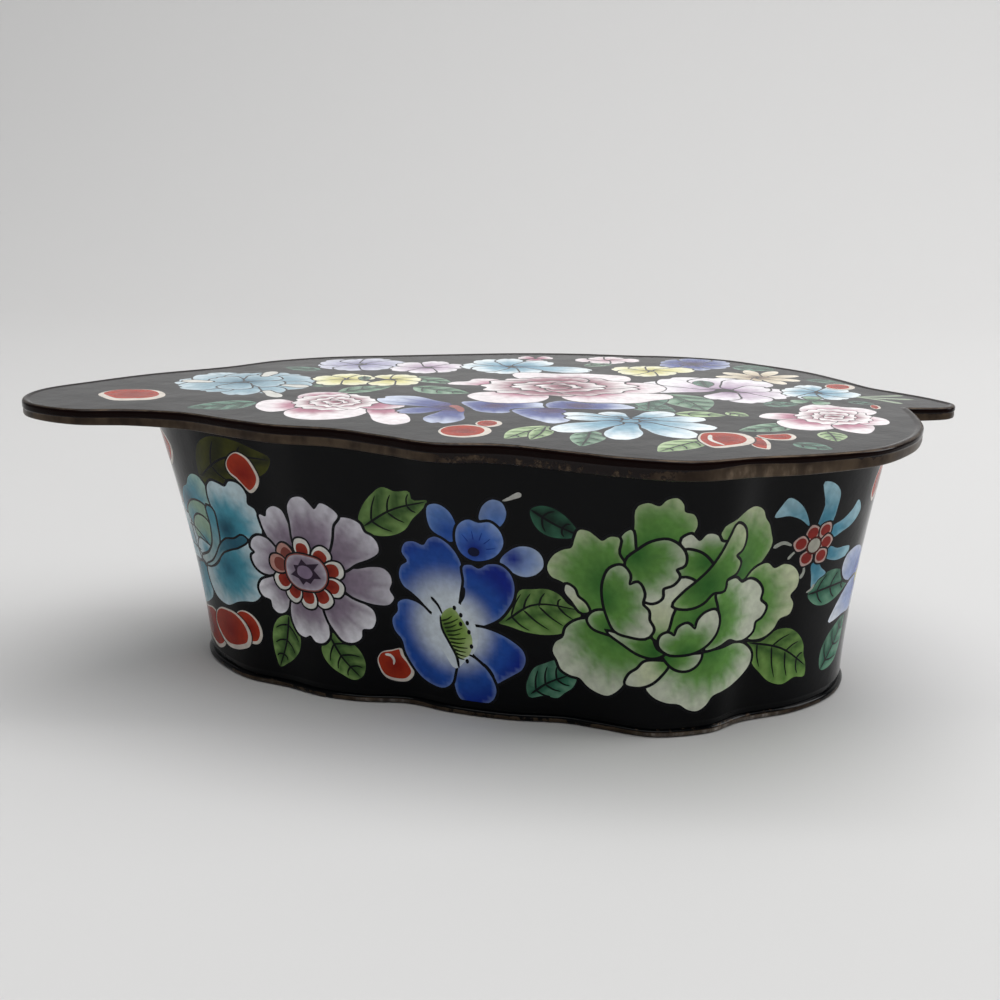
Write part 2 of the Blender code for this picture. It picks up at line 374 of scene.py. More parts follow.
class Sheet:
    """A flat painting: shapes in painting order, each a loop with a colour for any point."""

    def __init__(self):
        self.shapes = []
        self.place()

    def place(self, turn=0.0, size=1.0, shift=(0.0, 0.0)):
        """Set where the next shapes go: turned in degrees, sized, then shifted in millimetres."""
        angle = np.radians(turn)
        flip = np.sign(size)
        self.axes = abs(size) * np.array([[flip * np.cos(angle), flip * np.sin(angle)],
                                           [-np.sin(angle), np.cos(angle)]])
        self.shift = np.array(shift, float)
        self.size = abs(size)

    def move(self, centre, to, turn, size):
        """Set the place so that a motif's own centre comes to lie at a spot of the sheet."""
        self.place(turn, size)
        self.place(turn, size, np.array(to) - self.at(centre)[0])

    def at(self, points):
        """Points of a motif's own plan, put in their place on the sheet."""
        return np.array(points, float).reshape(-1, 2) @ self.axes + self.shift

    def add(self, loop, colour):
        """Lay a shape on the sheet."""
        self.shapes.append((loop, colour))

    def petal(self, points, root, reach, rim, flesh, heart, edge=0.8, ink=INK_WIDTH):
        """A petal with a dark edge outside it and colours that fade from its root."""
        loop = smooth_loop(self.at(points), PETAL_CUTS)
        if ink:
            self.add(loop + outward(loop) * ink, plain(INK))
        root = self.at(root)[0]
        self.add(loop, faded(loop, root, reach * self.size, rim, flesh, heart, edge * self.size))

    def line(self, points, width, end, colour=INK):
        """A brush line along a smooth path, from one width to another, with rounded ends."""
        points = self.at(points)
        ghost = np.vstack([2 * points[0] - points[1], points, 2 * points[-1] - points[-2]])
        path = smooth_loop(ghost, LINE_CUTS)[LINE_CUTS : LINE_CUTS * len(points) + 1]
        way = np.gradient(path, axis=0)
        side = np.stack([-way[:, 1], way[:, 0]], 1) / np.linalg.norm(way, axis=1, keepdims=True)
        along = np.linspace(0, 1, len(path))[:, None]
        half = (width + (end - width) * along) / 2
        half = half * np.sqrt(np.clip(1 - (2 * along - 1) ** 6, 0.02, 1))
        self.add(np.vstack([path + side * half, (path - side * half)[::-1]]), plain(colour))

    def dot(self, centre, radius, colour, tall=1.0):
        """A round spot, or one that is taller than it is wide."""
        self.add(self.at(oval(2 * radius, 2 * radius * tall, 14) + np.array(centre)), plain(colour))

    def bud(self, points, white=0.75, lean=(-0.38, 0.26)):
        """A berry or bud: a pale ring round a red middle that leans away from the ring's broad side."""
        loop = smooth_loop(self.at(points), PETAL_CUTS)
        self.add(loop + outward(loop) * 0.25, plain(INK))
        self.add(loop, plain(CREAM))
        inner = loop - outward(loop) * white * BUD_RING * self.size + np.array(lean) * white
        reach = np.ptp(inner, 0).max() * 0.9
        self.add(inner, faded(inner, inner.mean(0) + [0.3, -0.2], reach, RED, RED, RED_DEEP, 0.8))

    def leaf(self, points, midrib, light=LEAF_LIGHT, flesh=LEAF, deep=LEAF_DEEP, veins=3):
        """A leaf with a midrib and side veins that run from it nearly to the edge."""
        loop = smooth_loop(self.at(points), PETAL_CUTS)
        self.add(loop + outward(loop) * 0.2, plain(INK))
        rib = self.at(midrib)
        way = unit(rib[-1] - rib[0])
        side = left_of(way)
        spacing = np.linalg.norm(rib[-1] - rib[0]) / (veins + 0.5)

        def colour(spots):
            """Light between the veins, which lean forward, and deep beside them."""
            across = (spots - rib[0]) @ side
            along = (spots - rib[0]) @ way - VEIN_SLOPE * np.abs(across)
            wave = 0.5 - 0.5 * np.cos(2 * np.pi * (along / spacing - 0.6))
            depth = edge_distance(spots, loop)
            tone = flesh + (0.75 * wave * soft(np.abs(across) / 1.4))[:, None] * (light - flesh)
            tone = tone + (0.45 * soft(1 - depth / 0.8))[:, None] * (light - tone)
            shade = soft(across / 3.5 + 0.4) * 0.5 * (1 - 0.6 * wave)
            shade = shade + 0.45 * soft(1 - np.abs(across) / 0.8)
            return tone + shade[:, None] * (deep - tone)

        self.add(loop, colour)
        axes, shift = self.axes, self.shift
        self.axes, self.shift = np.eye(2), np.zeros(2)
        self.line(rib, LEAF_INK, LEAF_INK * 0.6)
        reach = np.ptp(loop, 0).max()
        for i in range(veins):
            share = (i + 0.6) / (veins + 0.5)
            foot = rib[0] + (rib[-1] - rib[0]) * share
            if len(rib) > 2:
                foot = foot + (rib[1] - (rib[0] + rib[-1]) / 2) * 4 * share * (1 - share) * 0.8
            for hand in (-1, 1):
                aim = way * VEIN_SLOPE + side * hand
                run = foot + aim * np.linspace(0, reach, 50)[:, None]
                held = np.cumprod(inside(run, loop))
                last = max(int(held.sum()) - 1, 0)
                end = foot + (run[last] - foot) * 0.86
                bend = (foot + end) / 2 + side * hand * 0.35
                if last > 3:
                    self.line([foot, bend, end], LEAF_INK * 0.9, LEAF_INK * 0.4)
        self.axes, self.shift = axes, shift


def inside(points, loop):
    """Whether each point is in a loop: a ray to the right crosses its edges an odd number of times."""
    x, y = points[:, :1], points[:, 1:]
    x0, y0 = loop.T
    x1, y1 = np.roll(loop, -1, 0).T
    rise = np.where(y1 == y0, 1e-12, y1 - y0)
    crosses = (y0 > y) != (y1 > y)
    return (crosses & (x < x0 + (y - y0) * (x1 - x0) / rise)).sum(1) % 2 == 1


def tell(motif):
    """Draw a motif on a sheet of its own and print how many shapes it takes."""
    trial = Sheet()
    motif(trial)
    print(motif.__name__.replace("_", " ") + ":", len(trial.shapes), "shapes")

# %% [markdown]
# The cutting is a constrained Delaunay triangulation: it joins a grid of points and all the
# painted edges into triangles that never cross an edge. Then each triangle looks up its shape. The
# paint's fourth number says whether a corner is painted, since the paint is duller than the ground.

# %% Cut a sheet along its painting
BORDER_GAP = 0.12
SAME_SPOT = 1e-3
LEAST_AREA = 1e-7
BLOCK = 4000
DARKEST_PAINT = 0.02


def cut_and_paint(sheet, grid, border):
    """Corners, triangles, and for every corner of every triangle its colour and its paint."""
    low, high = border.min(0) + BORDER_GAP, border.max(0) - BORDER_GAP
    loops = [np.clip(loop, low, high) for loop, colour in sheet.shapes]
    edges, start = [], 0
    for loop in [border] + loops:
        ring = np.arange(len(loop))
        edges.append(np.stack([ring, np.roll(ring, -1)], 1) + start)
        start += len(loop)
    points = np.vstack([border] + loops + [grid])
    made = delaunay_2d_cdt([Vector(p) for p in points], np.vstack(edges).tolist(), [], 0, SAME_SPOT)
    spots = np.array([tuple(p) for p in made[0]])
    triangles = np.array(made[2])
    turn = np.cross(spots[triangles[:, 1]] - spots[triangles[:, 0]],
                    spots[triangles[:, 2]] - spots[triangles[:, 0]])
    triangles[turn < 0] = triangles[turn < 0][:, ::-1]
    centres = spots[triangles].mean(1)
    kept = (np.abs(turn) > LEAST_AREA) & in_blocks(inside, centres, border)
    triangles, centres = triangles[kept], centres[kept]
    owner = np.full(len(triangles), -1)
    for number, loop in enumerate(loops):
        near = np.flatnonzero(np.all((centres >= loop.min(0)) & (centres <= loop.max(0)), 1))
        owner[near[inside(centres[near], loop)]] = number
    corners = spots[triangles].reshape(-1, 2)
    paint = np.empty((len(corners), 4))
    paint[:, :3], paint[:, 3] = BLACK, 0
    order = np.repeat(owner, 3)
    for number, (loop, colour) in enumerate(sheet.shapes):
        mine = np.flatnonzero(order == number)
        if len(mine):
            paint[mine, :3] = colour(corners[mine])
            paint[mine, 3] = float(paint[mine, :3].max() > DARKEST_PAINT)
    print(len(sheet.shapes), "shapes,", len(triangles), "triangles")
    return spots, triangles, np.clip(paint, 0, 1)


def in_blocks(test, points, loop):
    """What a test says of each point and the loop, block by block, so that its tables stay small."""
    return np.concatenate([test(points[i : i + BLOCK], loop) for i in range(0, len(points), BLOCK)])

# %% [markdown]
# ## The flowers on the body
#
# Each flower is one function, drawn at its place on the front: the first number runs along the
# wall from the leaf's tip, the second is the height, both in millimetres. The plainer back uses
# the same flowers again, moved, turned and mirrored.

# %% Green peony
def green_peony(sheet):
    """Ruffled petals, from the back ones to the small ones at the heart."""
    def outer(points, root, reach, flesh=GREEN, heart=GREEN_DEEP, rim=GREEN_WHITE):
        sheet.petal(points, root, reach, rim, flesh, heart, 0.9)

    outer([(90.5, 30), (91, 33.5), (91.5, 37), (92.9, 37.6), (94.5, 37.2), (95.4, 38.1), (96.8, 38.4),
           (97.7, 37.4), (97.9, 36.3), (99.2, 35.8), (99.8, 34.2), (99.2, 32.7), (97, 30.5)],
          (94, 30), 10.5, rim=GREEN_PALE)
    outer([(89.2, 28.4), (88.8, 31), (89.5, 32.5), (90.5, 33.2), (91, 31), (90.7, 28)], (90, 28), 6.5)
    outer([(77.7, 25.4), (78.6, 27.7), (80.2, 28.8), (81.4, 29.2), (82, 30.8), (82.7, 32.2), (84.1, 32.2),
           (85.2, 31.5), (86.1, 30.9), (87.4, 31.7), (88.7, 31.7), (88.6, 29.2), (89.6, 27.6), (89, 22),
           (87, 19), (84.2, 18.8), (82.6, 20.5), (81.6, 22.4), (79.6, 23.7), (78.3, 24.3)],
          (87, 24), 11.0, rim=GREEN_PALE)
    outer([(104, 33.5), (106, 34.4), (107.6, 35.4), (109.4, 35.8), (111.1, 34.9), (111.7, 33.6),
           (112.5, 32.5), (113, 31.2), (113.5, 29.4), (112.6, 27.2), (111, 25.4), (108, 24.2),
           (104, 25), (103.6, 29)], (107, 26), 11.0, rim=GREEN_PALE)
    outer([(109.5, 24.2), (111.6, 25.8), (113.3, 26.1), (114.6, 25.1), (116.2, 25.6), (118, 24.9),
           (119.2, 23.1), (119.1, 21.4), (118.2, 20.3), (119, 18.7), (118.6, 17.1), (116.9, 16.5),
           (116, 14.9), (114.1, 13.7), (111.5, 13.9), (109.5, 18)],
          (109.5, 19.5), 9.5, rim=GREEN_PALE)
    outer([(96.6, 12.2), (94.9, 9.8), (93.2, 8), (94.3, 6.6), (96.4, 5.6), (98.6, 5.2), (99.9, 4.3),
           (101.6, 3.9), (103, 4.6), (104.2, 6), (106.2, 6.4), (108.7, 6.9), (110.8, 7.9), (112.2, 9.4),
           (112.4, 11.2), (111, 12.9), (108.6, 13.8), (105.5, 13.6), (102, 13.4)],
          (103, 15), 10.6)
    outer([(84.6, 18), (82, 17.4), (80.3, 16), (79.7, 14.3), (78.6, 13.5), (78.1, 12), (78.8, 10.4),
           (79.3, 9.1), (80.7, 8.2), (82.3, 7.9), (83.5, 6.8), (85.1, 6), (86.9, 5.7), (88.5, 6.7),
           (89.8, 8.4), (90.5, 9.8), (92, 11), (94.5, 12.4), (93, 14.8), (88.5, 17)],
          (88.5, 17.5), 11.0)
    outer([(90, 8.2), (91.6, 8), (93.6, 8.6), (95.4, 10.2), (96.5, 12.1), (94.8, 12.4), (92.9, 12.1),
           (91.9, 10.9), (90.6, 9.8)], (96, 12), 6.5, GREEN_PALE, GREEN)
    outer([(95.5, 14.2), (96.5, 12.2), (97.9, 11.1), (99.8, 10.9), (101.2, 11.8), (101.7, 13.2),
           (100.8, 14.4), (98.2, 14.6)], (96, 13), 6.0)
    outer([(83.8, 17.8), (84.6, 19.1), (86.4, 19.6), (88.6, 18.6), (88.6, 16.2), (86, 16.2), (84.4, 16.8)],
          (88, 17), 6.5)
    outer([(87.1, 16.3), (88.8, 16.1), (90.6, 15.9), (93.4, 16.2), (94.8, 15.1), (95.8, 13.8),
           (94.4, 13.1), (92.2, 13.4), (89.6, 14.7)], (94.5, 14), 7.5)
    outer([(95, 14.6), (94.3, 17), (95.2, 20), (97.2, 22.9), (100.5, 22.4), (103.6, 23.4), (105, 21.6),
           (105, 17.6), (103.6, 14.3), (99, 13.8)], (102, 18), 12.0)
    outer([(103.7, 23), (105, 24.4), (107, 24.8), (108.6, 23.7), (110.3, 23.9), (112, 23), (112.9, 21.6),
           (112.8, 20.1), (114, 18.9), (113.4, 17.3), (112.4, 16.7), (112.1, 15.1), (110.6, 14.1),
           (108.8, 14.2), (107, 14.9), (104.6, 14.2), (102.4, 13.9), (104, 16.4), (104.6, 18.6),
           (104.2, 20.8)], (102.6, 18.6), 8.8)
    outer([(97.8, 32.1), (99, 32.7), (100.3, 31.6), (101.4, 32.6), (102.9, 32.3), (103.6, 31.2),
           (105, 30.8), (103.8, 28.4), (102, 26.6), (98.6, 29.4)], (102.5, 27.5), 5.4)
    outer([(98.2, 30.2), (100.4, 29.7), (102, 28.3), (102.9, 26.6), (101, 24.8), (98.6, 24.4),
           (97, 26.4)], (101.6, 28.2), 6.0)
    outer([(92.4, 22), (93.6, 23.6), (96.4, 25.2), (98.6, 25.8), (100, 25), (99, 23.2), (97, 20.8),
           (95.8, 17), (94.6, 16), (93.4, 18)], (95, 16), 8.0, GREEN_PALE, GREEN)
    outer([(89.9, 28.2), (91.7, 30.1), (93.6, 31.5), (95.7, 31.9), (97.3, 31), (98.3, 29.4), (98.2, 28),
           (97, 27.3), (97.5, 26.1), (96.7, 25), (95.2, 24.3), (95.1, 22.8), (93.8, 22), (92.5, 22.3),
           (91, 24.4), (90, 26.4)], (91.2, 29.4), 8.0)
    outer([(89.2, 27.3), (87.4, 26.6), (86.4, 24.5), (86.3, 21.5), (87, 18.8), (88.2, 16.7), (90.4, 16.2),
           (93.4, 16.5), (94, 17.6), (93.3, 19.1), (93.2, 20.5), (92.3, 21.5), (92.5, 23.3), (91.6, 24.9),
           (90.3, 24.4), (90.3, 26.1)], (86.2, 21.6), 8.0)
    outer([(97, 21.5), (98.4, 23.4), (100.4, 25.1), (102.2, 26.8), (104, 29.4), (105.2, 31.8),
           (106.3, 33.6), (107.6, 32.8), (108.2, 31), (107.7, 29.4), (106.5, 28.6), (107.6, 27.2),
           (107, 25.8), (105.1, 25), (104.8, 23.4), (103, 23.2), (101.4, 21.7), (99, 21)],
          (102, 24.4), 10.5, rim=GREEN_PALE)
    outer([(95.1, 15), (95.3, 16.5), (96.3, 17), (97.3, 16.5), (97.9, 17.8), (99.2, 18.4), (100.5, 17.4),
           (101, 18.9), (102.2, 20), (103.6, 20.2), (104.3, 18.8), (104.1, 16.8), (102.8, 15),
           (101, 13.9), (98.6, 13.5), (96.3, 13.8)], (99.5, 13), 6.6)
    sheet.line([(80.1, 23), (81.7, 20.9), (83.8, 18.9)], 0.45, 0.3)
    sheet.petal([(80.4, 23.1), (81.6, 22.6), (82.1, 21.4), (83.4, 20.4), (83.9, 19.2), (82.9, 18.9),
                 (81.3, 20.6), (80.2, 22.1)], (83, 19), 4, GREEN_WHITE, GREEN_PALE, GREEN)


tell(green_peony)

# %% Lilac chrysanthemum
def chrysanthemum(sheet):
    """Eight notched petals, a ring of ten small red ones, and a pale eye with a jagged star.

    Two of the small ones, at the upper left, are fainter than the rest.
    """
    centre = np.array([37.9, 21.3])
    petals = [
        [(34.2, 26), (32, 24.6), (30.9, 26.4), (30.2, 28.5), (30.1, 29.9), (31.2, 29.7), (31.6, 30.8),
         (33, 31.7), (34.6, 31.3), (35.4, 29.8), (36.1, 27.5), (36.6, 25)],
        [(32, 24.7), (30.6, 25.9), (29, 26.1), (27.8, 25.2), (27.5, 24), (28.1, 23.2), (27.4, 22.5),
         (27.6, 21), (28.7, 19.9), (30.4, 19.6), (33, 20.4), (33.4, 23)],
        [(32.4, 19.5), (30, 19), (28.5, 18.3), (27.8, 16.9), (28.4, 15.6), (29.8, 15.1), (30, 13.8),
         (31, 13), (32.5, 13.4), (33.7, 15), (35, 17.4)],
        [(34.9, 16.6), (33.8, 13.7), (34.2, 11.5), (35.2, 10.1), (36.5, 9.8), (37.6, 10.3), (38.5, 9.4),
         (40, 9.4), (41.2, 10.6), (41.3, 12.3), (40.9, 14.8), (40, 17.6), (37, 17.4)],
        [(41, 17.4), (41.3, 13.6), (42.5, 11.6), (43.8, 10.2), (45.5, 10.1), (46.8, 11), (47.1, 12.5),
         (48.6, 12.7), (49.3, 14.1), (49, 15.8), (47.4, 17), (45.4, 17.9), (43, 18.6)],
        [(43.8, 20.4), (45.5, 18.3), (47.5, 17.4), (49.8, 16.8), (51.6, 16.9), (52.4, 18), (51.8, 19.4),
         (52.2, 20.6), (52, 22), (51, 23), (49.2, 23.2), (47, 22.8), (44.4, 22.6)],
        [(42.6, 24.4), (43.3, 28), (43.8, 30.2), (44.8, 31.2), (46.6, 31.2), (48, 30.4), (48.6, 29),
         (49.7, 28.3), (50.4, 27.3), (50.5, 25.7), (49.2, 24.7), (47, 23.8), (44.6, 22.4)],
        [(36.6, 25.4), (36.1, 29.8), (36, 32.2), (37.3, 33.8), (39.2, 34), (40.3, 33), (40.9, 32.3),
         (42, 33.4), (43.6, 32.8), (44.7, 31.6), (43.7, 30), (43.2, 27.5), (42.2, 25)],
    ]
    for points in petals:
        length = np.linalg.norm(np.array(points) - centre, axis=1).max()
        root = centre + (np.mean(points, 0) - centre) * 0.3
        # Petals below the centre get whiter rims than those above it. The greyer upper rims are painted
        # shade under the lid.
        rim = tint(238, 237, 242) if root[1] < centre[1] - 0.5 else LILAC_WHITE
        sheet.petal(points, root, length - 2.9, rim, LILAC_PALE, LILAC_DEEP, 1.0)
    bold = (WHITE, tint(152, 52, 36), tint(118, 26, 16))
    shy = (tint(186, 140, 130), tint(128, 66, 58), tint(128, 66, 58))
    plan = [(-1.6, 0.9), (0, 1.55), (1.2, 1.1), (1.55, 0), (1.2, -1.1), (0, -1.55), (-1.6, -0.9)]
    for spot in [(34, 24), (37.7, 25.5), (41.2, 24.5), (43.2, 22.2), (43, 19.2), (40.9, 17.1), (38, 16.6),
                 (35, 17.2), (32.8, 19), (32.3, 21.9)]:
        rim, red, deep = shy if spot[0] < 34.5 and spot[1] > 20 else bold
        away = unit(np.array(spot) - centre)
        ring = np.array([spot + away * out + left_of(away) * across for out, across in plan])
        sheet.petal(ring, spot, 9, rim, rim, rim, 1, 0.34)
        sheet.petal(spot + (ring - spot) * 0.76 - away * 0.44, spot - away, 3.2, red, red, deep, 0.4, 0)
    eye = [(34, 21.4), (34.6, 23.2), (36.2, 24), (38.6, 24.1), (40.7, 23.6), (41.7, 22), (41.6, 20.2),
           (40.6, 18.9), (38, 18.3), (35.6, 18.6), (34.3, 19.8)]
    rim = smooth_loop(sheet.at(eye), PETAL_CUTS)
    sheet.add(rim + outward(rim) * 0.5, plain(INK))
    sheet.add(rim + outward(rim) * 0.2, plain(tint(150, 84, 76)))
    sheet.petal(eye, centre, 5, LILAC_WHITE, LILAC_PALE, LILAC, 0.7, 0)
    spikes = [(40.8, 20.5), (39.5, 20.4), (38.7, 19.4), (37.9, 19.7), (37.2, 19), (36.4, 20),
              (34.8, 20.4), (35.9, 21.3), (35.6, 22.2), (36.6, 22.3), (37.4, 23.5), (38.3, 22.7),
              (40.6, 23.1), (39.6, 21.9)]
    sheet.add(sheet.at(spikes), plain(tint(46, 32, 50)))
    sheet.petal([(36.3, 20.8), (37.4, 20.2), (38.7, 20.4), (39.3, 21.2), (38.8, 22.1), (37.6, 22.4),
                 (36.5, 21.9)], centre, 3, LILAC_PALE, LILAC, LILAC, 0.5, 0)


tell(chrysanthemum)

# %% Blue blossom
def deep_rim(loop, heart, reach):
    """White at the heart, then a soft blue, then the deep blue of the outer part, and a thin pale edge."""
    def colour(points):
        far = np.linalg.norm(points - heart, axis=1) / reach
        tone = BLUE_WHITE + soft((far - 0.36) / 0.52)[:, None] * (BLUE - BLUE_WHITE)
        tone = tone + soft((far - 0.9) / 0.4)[:, None] * (BLUE_DEEP - tone)
        depth = edge_distance(points, loop)
        pale = 0.4 * (1 - soft(depth / 0.6)) * soft(far * 3 - 1.6)
        return tone + pale[:, None] * (BLUE_PALE - tone)

    return colour


def blue_blossom(sheet):
    """Five broad petals, white at the middle and deep blue at the rim, with a green stamen."""
    heart = (62.4, 14.6)
    petals = [
        [(63, 15.6), (61, 16), (58.8, 16.6), (57, 18.2), (55.4, 19.4), (54.2, 20.2), (53.5, 22),
         (54, 23.7), (55, 24.5), (54.2, 26), (54.9, 27.6), (56.3, 28), (58.2, 27.7), (59.2, 28.9),
         (60.4, 29.4), (62, 28.8), (63.6, 27.2), (64.5, 25), (64.6, 22.4), (64.2, 19.4)],
        [(64, 15), (64.2, 19.4), (64.8, 22.6), (64.9, 25.2), (66, 25.4), (67.2, 24.9), (68.6, 25.7),
         (70.5, 25.8), (72, 24.6), (72.6, 22.8), (72.4, 20.6), (71.4, 18.6), (70, 16.9), (68.2, 15.8),
         (66, 15)],
        [(64, 14.6), (66.6, 15.1), (69.5, 14.5), (72, 13.2), (73.6, 11.6), (73.9, 10.2), (73.3, 8.6),
         (71.8, 7.5), (70.3, 6.5), (69.3, 5.9), (68.9, 7.3), (67.6, 9), (65, 10)],
        [(63.6, 12), (65.6, 9.9), (67.5, 8.3), (68.8, 6.2), (69.2, 4.6), (68.6, 3), (67, 2),
         (65.4, 1.2), (64.2, 1.8), (63, 2.9), (62.4, 4.6), (62.3, 7), (62.2, 10)],
        [(62.6, 14.6), (60.4, 15.8), (58.7, 16.2), (57.2, 17.3), (55.6, 17.9), (54.2, 18), (53, 17.3),
         (52.9, 15.9), (52, 14.6), (52.2, 12.6), (53.3, 11), (53.8, 8.9), (54.9, 6.8), (56.5, 5),
         (58.6, 4.1), (60.6, 4), (61.8, 4.9), (62.4, 6.8), (62.8, 9.4)],
    ]
    reaches = (12.8, 9.2, 9.4, 10.5, 10.4)
    for points, reach in zip(petals, reaches):
        loop = smooth_loop(sheet.at(points), PETAL_CUTS)
        sheet.add(loop + outward(loop) * INK_WIDTH, plain(INK))
        sheet.add(loop, deep_rim(loop, sheet.at(heart)[0], reach * sheet.size))
    merged = [(58.9, 16.3), (59.8, 18.4), (62, 19.4), (63.9, 18.6), (65.4, 17), (66.4, 14.6), (66, 11),
              (64.4, 9.2), (62.6, 7.6), (60.8, 10), (59.2, 13)]
    sheet.petal(merged, heart, 9, BLUE_WHITE, BLUE_WHITE, BLUE_WHITE, 0.5, 0)
    sheet.line([(55.6, 19), (57, 17.9), (58.7, 16.2)], 0.5, 0.3)
    sheet.line([(58.9, 19.2), (60.1, 18), (60.9, 16.4)], 0.6, 0.3)
    sheet.line([(64.7, 21.6), (64.5, 20), (63.8, 18.7)], 0.5, 0.35)
    sheet.line([(64.6, 10.4), (66, 9.8), (67.6, 8.4)], 0.3, 0.45)
    stamen = [(60.4, 15.6), (61.2, 17.2), (62.6, 17.9), (63.6, 16.8), (64.6, 15.2), (65.5, 13.4),
              (65.5, 11.6), (64.8, 10), (63.4, 9.4), (62.6, 10.6), (61.3, 12.6)]
    sheet.petal(stamen, (61.4, 14), 5.2, tint(186, 202, 146), tint(128, 160, 76), tint(72, 104, 42), 0.6, 0)
    sheet.line([(60.4, 16.4), (60.6, 14.2), (61.8, 11.8), (62.9, 9.6), (63.2, 7.7)], 0.4, 0.5)
    for i, length in enumerate((2.0, 2.9, 2.3, 3.1, 2.5, 3.2, 2.7, 3.0, 2.4, 2.2, 1.6)):
        share = i / 10
        foot = np.array([60.6, 15.4]) + np.array([2.1, -5.6]) * share
        tip = foot + np.array([0.93, 0.55 - 0.85 * share]) * length
        sheet.line([foot, (foot + tip) / 2 + [0.05, -0.14], tip], 0.4, 0.16, tint(34, 46, 20))
    for spot in [(62.9, 17.9), (63.9, 16.8), (63.8, 15.3), (64.9, 15.6), (65.1, 14.1), (65.4, 11.7),
                 (64.6, 9.1)]:
        sheet.dot(spot, 0.3, INK, 1.35)


tell(blue_blossom)

# %% Blue buds
def blue_buds(sheet):
    """Four buds above the blossom, one open with a dark core, and a pale stalk end."""
    dull = tint(84, 122, 190)
    sheet.petal([(59.5, 34.3), (61.2, 34.8), (62.8, 34), (63.8, 32.4), (64, 30.5), (63.2, 28.9),
                 (61.4, 29.6), (59.8, 30.6), (59.2, 32.4)], (62.6, 30.4), 6.4, BLUE_PALE, dull, BLUE, 0.8)
    sheet.petal([(67.8, 33), (68, 34.3), (68.8, 35.6), (70, 36.3), (71.3, 36), (72, 34.5), (71.6, 32.9),
                 (70.8, 32), (69.2, 32.4)], (70.4, 33), 5, tint(150, 170, 204), tint(112, 138, 190),
                dull, 0.8)
    sheet.line([(71.5, 36.2), (72.6, 36.6), (73.4, 37), (74.4, 37.4)], 0.3, 1.0, tint(188, 188, 182))
    sheet.petal([(70.6, 26.2), (72.2, 28.3), (73.7, 29), (75.6, 28.8), (76.9, 27.6), (77.1, 25.9),
                 (75.9, 24.5), (74, 24.1), (72.2, 24.9)], (72.6, 27), 5.0, tint(184, 200, 220),
                tint(126, 150, 200), BLUE_DEEP, 1.0)
    sheet.petal([(63.8, 30), (64.4, 31.8), (66, 32.8), (67.6, 32.4), (69.4, 32.6), (70.8, 31.4),
                 (71.3, 29.4), (70.2, 27.4), (68.4, 26.4), (66.4, 26.2), (64.6, 27.2)],
                (66.8, 28), 6.0, BLUE_PALE, tint(62, 104, 188), BLUE_DEEP, 0.9)
    for way in map(heading, (10, 40, 68, 98, 130)):
        start = np.array([66.9, 27.9]) + way * 1.7
        sheet.line([start, start + way * 0.8, start + way * 1.5], 0.2, 0.1, tint(24, 56, 140))
    sheet.dot((66.6, 27.6), 0.95, tint(14, 20, 56), 0.8)


tell(blue_buds)

